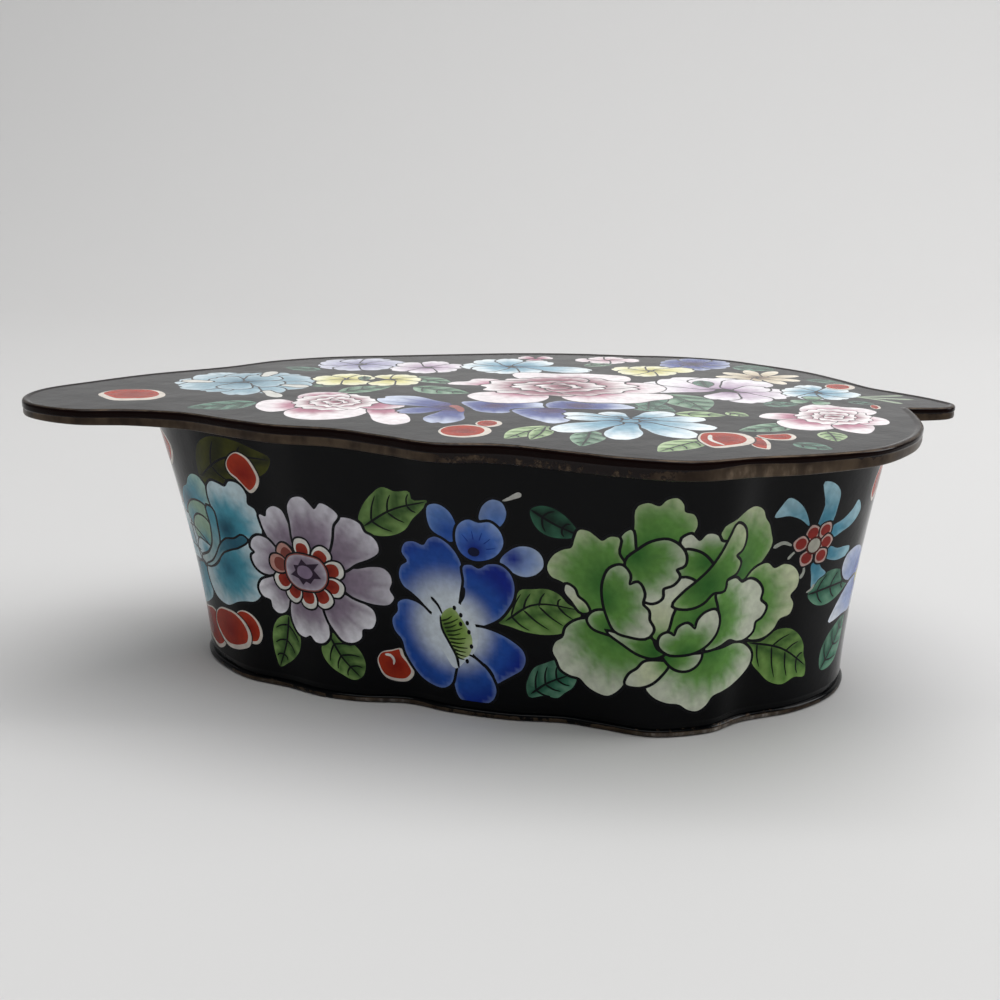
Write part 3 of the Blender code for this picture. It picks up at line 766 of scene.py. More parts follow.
# %% Turquoise flower
def turquoise_flower(sheet):
    """A cabbage-like flower seen from its side: broad lobed petals round nested pale folds."""
    moss = tint(142, 174, 150)

    def turq(points, root, reach, heart=TEAL_DEEP, flesh=TEAL, rim=TEAL_PALE):
        sheet.petal(points, root, reach, rim, flesh, heart, 0.9)

    turq([(-7, 17), (-4, 19), (2, 20.4), (8, 20), (13.8, 17.9), (14.1, 15.4), (13.6, 12.7), (11, 11),
          (7, 9.6), (3, 8.4), (-1, 7.4), (-5, 8.4), (-8, 12)], (8, 17.6), 9.5)
    turq([(-6, 23), (-5, 27), (-3, 29.4), (0, 28.4), (3, 27.4), (6, 27.8), (10, 27.4), (14, 24.6),
          (15, 20.6), (11, 18.5), (4, 18.6), (-2, 19)], (8, 22), 9, TEAL, TEAL_PALE)
    turq([(12, 19), (11, 22), (11.4, 26), (14, 29), (18, 30.6), (21, 30), (24, 26), (26.4, 25), (25, 21),
          (21, 18), (16, 17)], (21, 20), 9, TEAL)
    turq([(9, 27), (10, 29.6), (11.8, 31.4), (13.4, 32.1), (14.8, 33.6), (16.6, 34.6), (18.4, 34.5),
          (19.7, 33.3), (19.9, 30.8), (19.6, 28.4), (16, 28.4), (12, 27)],
         (12.6, 28.6), 8.0, TEAL_DEEP, TEAL, tint(168, 200, 190))
    turq([(20.5, 29), (20, 31.6), (20.4, 33.3), (21.8, 34.4), (23.4, 34.2), (24.6, 33.9), (25.6, 34.9),
          (27.2, 34.7), (28.3, 33), (28.2, 31.4), (29.3, 30.7), (29.7, 28.8), (30, 26.8), (28.6, 25.3),
          (26.4, 25.4), (24, 24.6), (22, 23.4), (20.8, 23.4), (20.9, 26)], (23, 26.4), 7.4)
    turq([(13.8, 17.8), (16.6, 18.4), (19, 19.8), (20.8, 22), (22.4, 23), (24.6, 23.8), (26.8, 25),
          (28.6, 24.2), (29.4, 21.6), (29.2, 18.8), (28.5, 16.4), (26.6, 14.4), (24.2, 14),
          (22.3, 13.5), (21, 12.9), (19.4, 12.3), (17.4, 12.3), (15.6, 12.8), (14.3, 14)],
         (21.4, 19.4), 7.6, tint(34, 106, 130), TEAL)
    sheet.petal([(10.6, 26.6), (12.4, 28.6), (15.2, 29.7), (18.6, 29), (18.8, 26), (18, 23.6), (15, 24),
                 (12, 25)], (13, 26), 8, moss, moss, TEAL, 0.8, 0.4)
    sheet.petal([(12.2, 23.6), (12.8, 25.8), (15, 27.2), (18.2, 26.4), (18.5, 24), (17.5, 21.7),
                 (15.2, 21.9)], (15.6, 22.6), 6, tint(166, 192, 168), moss, TEAL, 0.8, 0.4)
    sheet.petal([(11.6, 20.6), (13, 22.6), (15.4, 22.4), (17.6, 21.6), (16, 20.4), (13.6, 19.6)],
                (15, 21), 5, TEAL_PALE, TEAL_PALE, TEAL, 0.6, 0.35)
    hook = [(18.9, 29.6), (20.2, 29.4), (20.6, 26.2), (20.3, 23.7), (19, 21.4), (16.8, 19.7), (13.6, 18.4),
            (12.4, 19), (15.8, 20.7), (17.9, 22.8), (18.7, 25.8)]
    sheet.petal(hook, (19.6, 28), 11, tint(182, 200, 200), tint(124, 162, 168), TEAL, 0.6, 0.48)
    knot = [(20.5, 23.2), (22.4, 24.5), (24.4, 24.9), (26.2, 25.7), (26.9, 25.2), (25.2, 23.8),
            (22.8, 22.9), (21, 22.1), (18.4, 20), (15.4, 18.4), (14, 18.2), (16.6, 19.4), (18.8, 21.3)]
    sheet.petal(knot, (24, 24.4), 9, tint(150, 180, 184), tint(54, 112, 130), tint(40, 88, 108), 0.5, 0.36)
    for path, end in [([(9.6, 24.6), (12.6, 24.4), (14.4, 23.6), (16.6, 22.4)], 0.35),
                      ([(5, 21.6), (9, 20.8), (12.6, 20.4)], 0.4),
                      ([(13.4, 18.2), (9, 18.3), (4, 17.2)], 0.4)]:
        sheet.line(path, 0.4, end, tint(16, 44, 54))


tell(turquoise_flower)

# %% Ribbon flower
def ribbon_flower(sheet):
    """Five turquoise ribbons behind six small red petals with white rims, and a white eye."""
    ribbons = [
        [(113.2, 33.5), (114.1, 35.2), (115, 36.3), (116.9, 35.4), (118.4, 33.6), (119.3, 31.4),
         (117.7, 32.6), (115.7, 33.4)],
        [(120.5, 38.3), (122.6, 37.7), (124.2, 36), (124.3, 34), (123.5, 31), (121.1, 31),
         (121.5, 34.4)],
        [(124, 30.4), (126.4, 31.4), (128.4, 32.8), (129.2, 33.9), (130.7, 32), (129.4, 30.3),
         (126.8, 29.3), (124.4, 28.8)],
        [(124.4, 27.2), (126.4, 26.6), (128.6, 26.5), (129.9, 26.2), (129.9, 25.1), (128.2, 24.6),
         (125.6, 24.8), (124, 25.6)],
        [(121.3, 25), (121.7, 22.6), (122.2, 20.7), (123.3, 22), (124.8, 22.8), (123.4, 24),
         (122.6, 25)],
    ]
    middle = np.array([121.0, 28.0])
    tones = (tint(160, 198, 210), tint(72, 138, 162), tint(14, 70, 96))
    for points in ribbons:
        sheet.petal(points, middle, 9.6, *tones, 0.4, 0.2)
    for path, width, end in [([(113.8, 28.5), (115.4, 29.1), (117, 28.5)], 0.75, 0.4),
                             ([(116.6, 26.3), (117.3, 27.1), (118, 27.7)], 0.55, 0.3),
                             ([(119.7, 25), (119.9, 23.8), (119.4, 22.8)], 0.3, 0.7),
                             ([(121.2, 20.2), (122.2, 20.7), (122.6, 21.4)], 0.3, 0.6)]:
        sheet.line(path, width, end, tint(168, 172, 162))
    rim = tint(190, 162, 154)
    for spot in [(120.3, 30.2), (122.8, 30.3), (123.5, 28.2), (122.9, 26), (119.9, 26), (118.4, 28.6)]:
        away = unit(np.array(spot) - middle)
        side = left_of(away)
        ring = [spot - away * 1.5, spot + side * 1.3, spot + away * 1.3, spot - side * 1.3]
        sheet.petal(ring, spot, 9, rim, rim, rim, 1, 0.3)
        sheet.dot(spot - away * 0.1, 0.98, tint(138, 42, 36), 0.95)
    sheet.dot(middle, 1.5, tint(72, 22, 18))
    sheet.dot(middle, 1.16, tint(174, 172, 160))


tell(ribbon_flower)

# %% [markdown]
# Small things fill the gaps between the flowers, as on the real box: leaves, berries, and a flower
# that shows at the far right where the wall turns away.

# %% Plain leaves and berries
def pointed(base, tip, width, bow):
    """A leaf's outline: half widths that swell as the sine of the share run, bowed to one side."""
    base, tip = np.array(base, float), np.array(tip, float)
    way = tip - base
    side = left_of(way) / np.linalg.norm(way)
    share = np.array([0.12, 0.3, 0.5, 0.7, 0.88])[:, None]
    half = width / 2 * np.sin(np.pi * share**0.8) ** 0.8
    spine = base + way * share + side * bow * np.sin(np.pi * share)
    return np.vstack([base, spine + side * half, tip, (spine - side * half)[::-1]])


def small_leaf(sheet, base, tip, width, bow, tones=MEADOW, veins=3):
    """A plain leaf between two points."""
    way = unit(np.array(tip, float) - base)
    middle = (np.array(base, float) + tip) / 2 + left_of(way) * bow
    sheet.leaf(pointed(base, tip, width, bow), [base, middle, tip], *tones, veins)


def round_bud(sheet, centre, width, height, turn=0.0, white=0.6):
    """An oval berry with a pale ring."""
    sheet.bud(oval(width, height, 8, turn) + np.array(centre), white)


print("a leaf's outline has", len(pointed((0, 0), (10, 0), 4, 0)), "points")

# %% The front of the body
def paint_front(sheet):
    """Everything that the front of the body shows, from its left end to its right."""
    sheet.leaf([(19.2, 34), (19, 37), (20.4, 40.2), (23, 42), (27, 42.2), (31, 40.9), (34, 39.6),
                (33, 37.6), (31, 36.2), (27, 34.6), (23, 33.6)], [(19.6, 35), (26, 39), (33.4, 39.4)],
               OLIVE_LIGHT, OLIVE, OLIVE_DEEP, 2)
    sheet.bud([(25.7, 37.4), (26.5, 39.2), (28, 40.1), (29.6, 39.4), (30.7, 37.7), (31.2, 36),
               (30.5, 34.3), (29.2, 33.4), (28.2, 34.2), (27.2, 35.4), (26.1, 36.3)], 0.45)
    round_bud(sheet, (6.2, 37), 11, 6.2, 14, 0.6)
    turquoise_flower(sheet)
    sheet.bud([(21.4, 11.2), (23.2, 12.2), (25.4, 11.8), (26.9, 10.1), (27.1, 8.2), (26.2, 6.8),
               (24, 6.6), (22, 8)], 0.5)
    sheet.bud([(2, 7), (5, 8.6), (9, 9.6), (13, 10), (16, 8), (15.8, 4.4), (12.8, 2.9), (9, 3.4),
               (5, 4.6)], 0.6)
    sheet.bud([(12.8, 7.7), (13.6, 9.6), (15.5, 10.9), (18.5, 11.4), (21.5, 11.2), (23.7, 9.8),
               (24.6, 7.8), (24, 6), (22, 5), (19.5, 4.4), (17, 4.3), (14.4, 5.5)], 0.75)
    small_leaf(sheet, (33.2, 12.9), (30.2, 3.4), 6.0, 0.4)
    sheet.leaf([(41.6, 11.4), (43.5, 10.6), (45.6, 9.6), (46.8, 8), (47.2, 6), (46.5, 4.2), (45.2, 3.6),
                (43.2, 4.3), (41, 5.6), (39.9, 7), (39.6, 8.6), (40.4, 10)],
               [(41.4, 10.6), (43.2, 7.4), (46.2, 4.2)])
    sheet.leaf([(47.9, 31), (48.6, 33.2), (50.3, 35.4), (51.8, 36.5), (53.8, 35.9), (56.4, 36),
                (56.6, 35), (59.5, 35.1), (58.3, 33.4), (56.6, 31.8), (55, 29.7), (52.3, 28.5),
                (49.6, 28.8)], [(48.6, 30), (52.6, 32.6), (59.2, 34.9)])
    chrysanthemum(sheet)
    sheet.bud([(49.2, 7.6), (49.8, 8.6), (51.6, 9.1), (53.1, 9.4), (53.5, 8.2), (54.5, 6.9), (55.1, 5.4),
               (54, 3.9), (52.2, 3.7), (50.3, 4.4), (49.4, 6)], 0.5)
    sheet.line([(50.4, 8.3), (51.3, 8.1), (51.8, 7.3), (51.7, 6.5)], 0.5, 0.3, WHITE)
    sheet.leaf([(70, 16.2), (71.6, 18.8), (72.8, 20.8), (73.4, 21.8), (75.4, 22.1), (77.5, 22.2),
                (79.3, 21.4), (80.6, 20), (82.6, 18.8), (81.6, 16.6), (79.5, 15), (77, 14.6), (74, 15),
                (71.5, 15.8)], [(71, 16.6), (75, 19.4), (82, 19.2)], LEAF_LIGHT, tint(92, 132, 62),
               LEAF_DEEP, 4)
    blue_buds(sheet)
    blue_blossom(sheet)
    small_leaf(sheet, (75.6, 35), (82.9, 31.2), 4.4, -0.4, DUSK, 2)
    sheet.leaf([(74.3, 4.1), (73.9, 5.6), (74.3, 7.4), (75.2, 9), (77, 9.9), (78.4, 10.4), (80, 9.4),
                (81.8, 7.8), (81.2, 6.2), (79.8, 5), (78.7, 4.1), (76.8, 4.4)],
               [(74.6, 4.6), (77, 6.4), (80.4, 8)], *SEA)
    sheet.leaf([(111.2, 13.2), (114, 13), (116.8, 14.7), (119, 14.6), (121.2, 13.2), (122.6, 11.2),
                (122.9, 9.7), (123.8, 7.4), (123.8, 5.8), (121.4, 6), (119, 5.2), (116.4, 6),
                (114.4, 7.8), (112.8, 9.6), (112.4, 11.6)], [(111.6, 13.2), (118, 11.4), (123.6, 7.6)],
               tint(134, 172, 92), tint(86, 126, 58), LEAF_DEEP, 4)
    green_peony(sheet)
    small_leaf(sheet, (121.6, 19.8), (132.6, 20.2), 5.8, 0.2, SEA)
    ribbon_flower(sheet)
    small_leaf(sheet, (128, 5.8), (134, 14), 6.4, -0.4, SEA)
    mist = tint(150, 166, 206)
    white = tint(214, 220, 230)
    sheet.petal([(129.2, 22.6), (129.7, 24.6), (131.8, 25.5), (134.6, 25.2), (137.4, 23.4), (137.6, 20.4),
                 (134, 19.8), (130.6, 20.6)], (136, 21), 8, white, mist, BLUE, 0.8)
    sheet.petal([(128.1, 13.9), (129.3, 16), (131, 18), (133.2, 19.6), (136.6, 19.6), (138.4, 17),
                 (137, 14.4), (132.6, 14.2)], (137, 18), 8, white, mist, BLUE, 0.8)
    sheet.petal([(137.4, 22), (139.4, 25), (142.6, 25.4), (144.4, 22.6), (142.4, 19.6), (138.6, 19.4)],
                (138.4, 20), 4.4, white, mist, BLUE, 1.3)
    sheet.petal([(137.6, 18.8), (141.4, 19), (144, 16.4), (143, 12.8), (139.6, 12.2), (137.4, 15)],
                (138.4, 18), 4.4, white, mist, BLUE, 1.3)
    sheet.dot((137.9, 19.2), 1.2, tint(180, 176, 90))
    round_bud(sheet, (136, 35.4), 4.4, 6.4, -20, 0.6)
    small_leaf(sheet, (141, 31), (137.4, 36.8), 3.4, 0, SEA, 2)


tell(paint_front)

# %% The back of the body
def paint_back(sheet):
    """The hidden side: the same flowers again, fewer of them and further apart."""
    for flower, middle, to, turn, size in [(chrysanthemum, (37.9, 21.3), (-28, 22.5), 20, -0.95),
                                           (blue_blossom, (63, 15), (159.5, 22), -24, 0.86),
                                           (green_peony, (99, 20), (193, 23), -6, -0.8),
                                           (ribbon_flower, (121, 28), (-50, 27), 0, 0.95)]:
        sheet.move(middle, to, turn, size)
        flower(sheet)
    sheet.place()
    for leaf in [((169, 14), (177, 8), 5, 0.5), ((172, 33), (178, 38.5), 4.6, 0.3),
                 ((150, 9), (143.5, 6), 4.6, 0.2, SEA), ((212, 13), (219, 8), 5, 0.4),
                 ((211, 32), (218.6, 36), 4.4, -0.3, SEA), ((-42, 10), (-36, 5), 4.6, 0.3),
                 ((-16, 12), (-10, 6), 4.6, -0.3, SEA), ((-16, 33), (-11, 38), 4.6, 0.3)]:
        small_leaf(sheet, *leaf)
    for berry in [((149.5, 35.5), 5, 6, 20), ((176.5, 12.8), 4.6, 4.2), ((-55.5, 12), 5, 4.4, 20),
                  ((-9, 13.5), 3.6, 4.4), ((-41, 36), 4.2, 5.2, -15)]:
        round_bud(sheet, *berry)


tell(paint_back)

# %% [markdown]
# ## The flowers on the lid
#
# The lid is painted the same way, on a plan of the leaf: the first number runs from the tip to the
# stem and the second from front to back, in millimetres from the middle of the lid. Its flowers are
# looser, so most of them come from one function that sets petals round a point.

# %% Flowers set round a point
def petal_between(root, tip, width, notch=0.0, blunt=0.72):
    """A petal's outline from its root to its tip, widest at the blunt share, with a notch or none."""
    root, tip = np.array(root, float), np.array(tip, float)
    way = tip - root
    side = left_of(way) / np.linalg.norm(way) * width / 2
    plan = [(0, 0.24), (0.35, 0.72), (blunt, 1), (0.93, 0.62), (1, 0.26), (1 - notch, 0)]
    left = [root + way * along + side * half for along, half in plan]
    right = [root + way * along - side * half for along, half in reversed(plan[:-1])]
    return np.array(left + right)


PINKS = (PINK_WHITE, PINK, PINK_DEEP)
ROSES = (tint(250, 244, 244), tint(152, 98, 112), tint(84, 40, 50))
SKIES = (tint(238, 247, 250), tint(138, 178, 198), tint(60, 106, 136))
GREY_SKIES = (tint(216, 230, 236), tint(146, 176, 190), tint(76, 110, 128))
VIOLETS = (tint(208, 217, 236), tint(84, 94, 150), tint(72, 48, 88))
LILACS = (tint(247, 243, 247), tint(208, 190, 208), tint(128, 98, 132))
YELLOWS = (tint(248, 246, 216), tint(226, 220, 156), tint(156, 148, 82))
LID_GREEN = (tint(164, 190, 168), tint(88, 124, 100), tint(46, 78, 62))
LID_SEA = (tint(116, 150, 134), tint(70, 106, 90), tint(40, 68, 56))
PALE_LEAF = (tint(202, 220, 178), tint(140, 168, 118), tint(74, 104, 70))
NOTCH = 0.05
THIN_INK = 0.34
ROSE_RINGS = ((0.6, 5, 0.52), (0.3, 4, 0.36), (0.06, 2, 0.24))
RUFFLE = [(-0.7, -0.6), (-1, 0.1), (-0.82, 0.72), (-0.34, 0.66), (0.02, 0.9), (0.42, 0.68),
          (0.86, 0.74), (1, 0.05), (0.66, -0.6)]


def round_flower(sheet, centre, petals, tones, reach=None):
    """Petals given by their turn in degrees, length and width, each set round the same centre."""
    for turn, length, width in petals:
        tip = np.array(centre) + length * heading(turn)
        start = np.array(centre) + (tip - np.array(centre)) * 0.12
        sheet.petal(petal_between(start, tip, width, NOTCH), centre, reach or length * 0.92, *tones, 0.8,
                    THIN_INK)


def pink_peony(sheet, petals, reach, edge, centre, size, turn, flat):
    """Broad outer petals, each with its own root, then rings of ruffled ones round a curled heart.

    A ring is its distance from the centre, its number of petals and half a petal's width, in sizes.
    """
    for points, root in petals:
        sheet.petal(points, root, reach, *PINKS, edge, 0.24)
    for ring, count, half in ROSE_RINGS:
        for i in range(count):
            out = heading(turn + 360 * i / count + 40 * ring * 10)
            shape = [out * (ring + half * y) + left_of(out) * half * 1.12 * x for x, y in RUFFLE]
            shape = np.array(shape) * size * [1, flat] + centre
            root = np.array(centre) + out * (ring - 0.7 * half) * size * [1, flat]
            sheet.petal(shape, root, half * size * 1.42, *ROSES, 0.6, 0.03 * size)


print("a full peony has", sum(count for ring, count, half in ROSE_RINGS), "ruffled petals")

# %% The tip's half of the lid
def paint_lid_left(sheet):
    """The tip's half of the leaf."""
    sheet.bud([(-63.4, 0), (-61.6, -3.2), (-59.2, -5.5), (-56, -5.4), (-53.4, -4.6), (-52, -2),
               (-52.8, 1.2), (-55, 3.6), (-58.2, 4.2), (-61.6, 3.4)], 1.3, (-0.25, 0.66))
    for leaf in [((-36, -6), (-46, -11), 7, 0.5, LID_SEA), ((-24, 3), (-16, 9), 5.5, 0.5, LID_GREEN),
                 ((-31, 10), (-25.4, 8.8), 2.4, 0.0, LID_GREEN, 2)]:
        small_leaf(sheet, *leaf)
    round_flower(sheet, (-24, 31), [(-160, 8, 7), (-110, 7, 6), (160, 8, 7), (110, 6, 6), (60, 7, 6),
                                    (10, 8, 7), (-50, 7, 6)],
                 (tint(214, 216, 230), tint(176, 174, 200), tint(116, 112, 150)))
    round_flower(sheet, (-11.5, 28), [(200, 7, 5), (140, 7, 5), (80, 7, 5), (20, 7, 5), (-40, 6, 5),
                                      (-100, 6, 5)], LILACS)
    small_leaf(sheet, (-14, 18), (-6, 12), 5, 0.4, LID_GREEN)
    small_leaf(sheet, (-12, 9), (-2.5, 3.2), 6.5, -0.6, LID_GREEN)
    round_flower(sheet, (-40.5, 11), [(175, 13, 8), (140, 13, 9), (100, 10, 9), (60, 11, 9),
                                      (25, 11, 10), (-15, 11, 8), (-55, 11, 5.4), (-90, 11, 6.4),
                                      (-128, 10, 5.6), (-160, 12, 8)], GREY_SKIES, 14)
    round_flower(sheet, (-41.5, 12), [(150, 7, 6), (60, 7, 7), (-20, 7, 6), (-100, 7, 6)], GREY_SKIES, 10)
    for tip in [(-38.6, 22.6), (-33.2, -1.6), (-30, 8), (-52.6, 12.6)]:
        foot = np.array([-40.5, 11]) * 0.45 + np.array(tip) * 0.55
        sheet.petal(petal_between(foot, tip, 2.4), foot, 1, WHITE, WHITE, tint(186, 204, 212), 0.5, 0.3)
    round_flower(sheet, (-24.5, 15.5), [(100, 5.4, 5), (170, 6, 5), (235, 6.4, 5), (300, 6, 5),
                                        (35, 5, 5)], YELLOWS)
    round_flower(sheet, (-16.6, 15.4), [(110, 5, 4.6), (60, 5.4, 4.6), (0, 5, 4.6), (-50, 6, 4.6),
                                        (-110, 6, 4.6)], YELLOWS)
    small_leaf(sheet, (-21.8, 18.4), (-21.4, 14.6), 2.0, 0, LID_GREEN, 2)
    pink_peony(sheet, [
        ([(-35.6, -7.6), (-34.8, -4.4), (-32.6, -3.4), (-30.4, -5), (-29, -8.6), (-30, -12.4),
          (-32.4, -13.6), (-34.6, -11.4)], (-27.4, -8)),
        ([(-30, 0.6), (-28, 2.8), (-25, 3.2), (-22.6, 2.2), (-22, -2), (-27, -4), (-30, -2)], (-25, -2)),
        ([(-30, -13), (-29, -17), (-26, -19.2), (-21.4, -18.8), (-18.4, -16.4), (-17.2, -12),
          (-20, -9), (-27, -9)], (-26, -10)),
        ([(-17, -10), (-16.4, -15.6), (-14.8, -20.4), (-12, -22.4), (-10.2, -21), (-10.2, -17),
          (-12.6, -12), (-14.6, -9.6)], (-15, -10)),
        ([(-18.6, -1.6), (-17, -4.6), (-12.6, -5.4), (-12, -8.6), (-16, -11), (-20, -8)], (-18, -7)),
    ], 6.0, 1.0, (-23.4, -5.2), 6.4, 20, 1.0)
    round_flower(sheet, (-3.4, -8.6), [(150, 15, 7.6), (205, 10, 4.6), (-100, 12.6, 6.2)],
                 VIOLETS, 13)
    sheet.petal([(-3, -4), (0, -3.4), (5, -4), (9.6, -4.6), (10.4, -8), (7, -10), (3.6, -13), (0.2, -12),
                 (-1.6, -8.6)], (2.4, -7), 7.4, *VIOLETS)
    sheet.line([(-4.6, -7), (-3.2, -9.4), (-2.6, -12.4)], 1.8, 1.0, tint(158, 96, 92))
    round_bud(sheet, (2.1, -20.9), 4, 5, 0, 0.7)
    round_bud(sheet, (-1.1, -26.4), 7.8, 9, 0, 0.95)


tell(paint_lid_left)

# %% The stem's half of the lid
def paint_lid_right(sheet):
    """The stem's half of the leaf."""
    round_flower(sheet, (7.6, 38.8), [(30, 3.4, 3.4), (150, 3.4, 3.4), (270, 3.4, 3.4)], PINKS)
    round_flower(sheet, (21, 37.6), [(180, 6, 4), (130, 4, 4), (60, 4, 4), (0, 6, 4), (-60, 4, 4),
                                     (-120, 4, 4)], (PINK_WHITE, tint(226, 204, 210), PINK))
    round_flower(sheet, (3.4, 29.6), [(175, 9, 7), (130, 9.4, 6), (95, 9, 5), (40, 9, 6), (-15, 15, 6),
                                      (-60, 8, 6), (-110, 7.4, 7), (-150, 7.4, 6)], SKIES)
    round_flower(sheet, (36.6, 34.2), [(150, 6, 6), (210, 6.4, 6), (270, 7, 6), (330, 7, 6), (20, 7, 6),
                                       (80, 6, 6)], VIOLETS, 8)
    small_leaf(sheet, (43.5, 31), (51, 28.4), 6, 0.4, LID_SEA)
    round_flower(sheet, (28.4, 26.4), [(160, 7, 5), (110, 5, 5), (60, 5, 5), (10, 8, 5.4), (-50, 5.4, 5),
                                       (-110, 6, 5), (205, 6, 5)], YELLOWS)
    daisy = (47, 20.4)
    for turn in (15, 60, 100, 140, 175, 215, 255, 300, 335):
        sheet.petal(petal_between(daisy, np.array(daisy) + 7.4 * heading(turn), 2.5), daisy, 7,
                    tint(244, 236, 218), tint(214, 200, 176), tint(126, 104, 86), 0.5, 0.26)
    for leaf in [((22.6, -4.4), (30.4, -11), 6.4, 0.6, LID_SEA), ((30, 4), (35.2, -9.4), 8, 0.8, LID_GREEN),
                 ((28.4, 4), (26.4, -9), 5.6, -0.5, LID_SEA)]:
        small_leaf(sheet, *leaf)
    round_flower(sheet, (40, 8), [(165, 15, 11), (130, 14, 10), (95, 11.6, 9.6), (55, 11, 9)], LILACS, 10)
    round_flower(sheet, (41, 7), [(0, 9, 5.6), (-30, 10, 6.4), (-72, 10.4, 7.4), (-112, 8, 6),
                                  (30, 7, 5.6)], LILACS)
    small_leaf(sheet, (36.6, 16.8), (37.2, 10.6), 3.4, 0, LID_SEA, 2)
    pink_peony(sheet, [
        ([(-1.4, 10.6), (-6.8, 12), (-5.6, 13.8), (-3.4, 14.4), (-2.6, 16.6), (0.8, 16.8), (3, 13.4),
          (2, 10)], (3, 10)),
        ([(4, 21), (4.4, 23), (8, 23.4), (12, 22.6), (16, 23), (20, 22.2), (24, 20.4), (24.4, 16),
          (18, 14), (8, 15)], (14, 14)),
        ([(20, 13.4), (24, 14.4), (28.6, 13), (30.2, 9.4), (28.8, 5.6), (24, 4.2), (20, 6)], (20, 9.6)),
        ([(-2.6, 1.2), (-1.6, 3.6), (2, 5), (7, 4.6), (10.2, 3), (10.6, -0.6), (9, -3.6), (5.6, -4.8),
          (1.2, -4.2), (-1.4, -1.8)], (7, 6)),
        ([(12.8, 1.4), (14.4, 4), (19, 4.8), (25, 4.4), (30.6, 3.2), (30.8, 0.6), (27.6, -1.6),
          (25, -3.8), (19.6, -4), (14.6, -2.6)], (17, 6)),
    ], 7.4, 1.0, (12.2, 10.2), 12.4, 8, 0.66)
    sheet.petal([(10.6, -4.6), (12.6, -2.6), (17, -4.4), (21.8, -4.6), (24.4, -8.2), (21, -9.2),
                 (15, -9), (11, -8.6)], (15.6, -6.6), 7.4, *VIOLETS)
    sheet.petal([(5.2, -10.4), (6.4, -14), (9.4, -18.4), (11.6, -20.4), (13.8, -19), (13.8, -13.4),
                 (13, -9.6), (9, -8.8)], (11.4, -10.4), 8.6, *VIOLETS)
    for leaf in [((11, -22.4), (5, -31.4), 5.2, -0.4, PALE_LEAF),
                 ((10.6, -23), (8.6, -31.8), 3.4, 0.4, PALE_LEAF, 2),
                 ((17.2, -25.4), (15.8, -35.8), 5.2, 0.2, LID_GREEN)]:
        small_leaf(sheet, *leaf)
    middle = (23.2, -17.6)
    sheet.dot(middle, 2.4, tint(112, 152, 172))
    for x, y, width in [(19.4, -11.6, 4.4), (13.4, -12.6, 3.8), (13.6, -15.8, 3.2), (29.6, -11.2, 5),
                        (34.6, -16.2, 4.6), (35.6, -23.2, 5), (31.8, -29.6, 5.6), (21.4, -31.2, 5.6),
                        (12, -25.6, 6.4)]:
        foot = np.array(middle) * 0.86 + np.array([x, y]) * 0.14
        sheet.petal(petal_between(foot, (x, y), width, 0, 0.6), middle,
                    0.9 * np.hypot(x - middle[0], y - middle[1]), *SKIES, 0.8, 0.36)
    sheet.line([(21, -14.2), (22.6, -15.2), (25, -15.4), (27.6, -17.2)], 0.5, 0.4)
    for leaf in [((33, -31), (26.4, -38.8), 5.6, -0.3, PALE_LEAF),
                 ((47.2, -19.4), (38.8, -24.4), 5.4, 0.5, LID_GREEN),
                 ((30.4, -12), (38, -13.4), 4.6, 0.3, PALE_LEAF, 2),
                 ((38.4, -10.6), (41.4, -13.8), 3, 0, PALE_LEAF, 2),
                 ((44.8, -4.4), (50.6, -3.6), 4.6, 0.3, LID_SEA, 2)]:
        small_leaf(sheet, *leaf)
    sheet.bud([(40.4, -28.8), (39.6, -32), (40.2, -35.6), (41.6, -36.6), (42.2, -34.4), (42.2, -31),
               (41.4, -28.6)], 0.5)
    sheet.bud([(41, -27.4), (43.4, -26.6), (46, -26.2), (46.6, -28.2), (45.6, -30.4), (42.6, -30.2)], 0.6)
    sheet.bud([(32.6, -28.6), (33.6, -26), (36, -25.4), (39, -26.4), (40.4, -29.4), (39.4, -33.4),
               (37.2, -35), (34.4, -36), (32.8, -33)], 1.0)
    sheet.line([(34.4, -27.4), (34.2, -30.8), (35.8, -34.2)], 0.7, 0.5, WHITE)
    pink_peony(sheet, [
        ([(43, -14.2), (44.4, -11.4), (47, -11), (50, -12.6), (50, -16), (46, -16)], (50, -14)),
        ([(45.4, -17), (46, -21.6), (49.4, -23.6), (53, -22), (53.4, -17), (49, -15)], (51, -16)),
        ([(53, -20), (54.4, -24), (57, -25.6), (58.6, -23), (58.8, -19), (56, -17)], (55, -18)),
        ([(56.6, -12.4), (59.4, -12.4), (62, -15.4), (61.2, -19), (58.4, -19.4), (56.4, -16)], (56, -15)),
        ([(50, -9.6), (50.8, -5.6), (54, -3.4), (56.8, -5.6), (60, -6.6), (61.6, -9.4), (59.6, -12.4),
          (54, -12)], (54.6, -10.6)),
    ], 5.4, 0.8, (54.4, -13.4), 5.4, 50, 1.05)
    small_leaf(sheet, (51.6, -24.4), (51.8, -31), 4.2, 0.2, PALE_LEAF)
    small_leaf(sheet, (45.6, -32.4), (50.4, -36.4), 4.0, 0.2, LID_SEA, 2)
    round_flower(sheet, (55, 6.4), [(100, 7, 4.6), (150, 6, 5), (200, 6, 4.6), (250, 6.6, 4.6),
                                    (300, 6.6, 4.6), (340, 7, 5), (35, 6, 4.6)], SKIES)
    round_flower(sheet, (53, -0.6), [(80, 3.6, 3), (200, 3.6, 3), (300, 3.6, 3)], LID_GREEN)
    round_bud(sheet, (59.6, 12), 5, 5.6, 0, 0.8)
    for tip in [(68.6, 4.4), (69.6, 1), (67, -2.6)]:
        sheet.line([(60.6, 3), (64.4, 3 + (tip[1] - 3) * 0.5), tip], 0.5, 1.3, tint(150, 164, 142))
    round_bud(sheet, (62.2, -5.4), 1.5, 3.4, 0, 0.3)
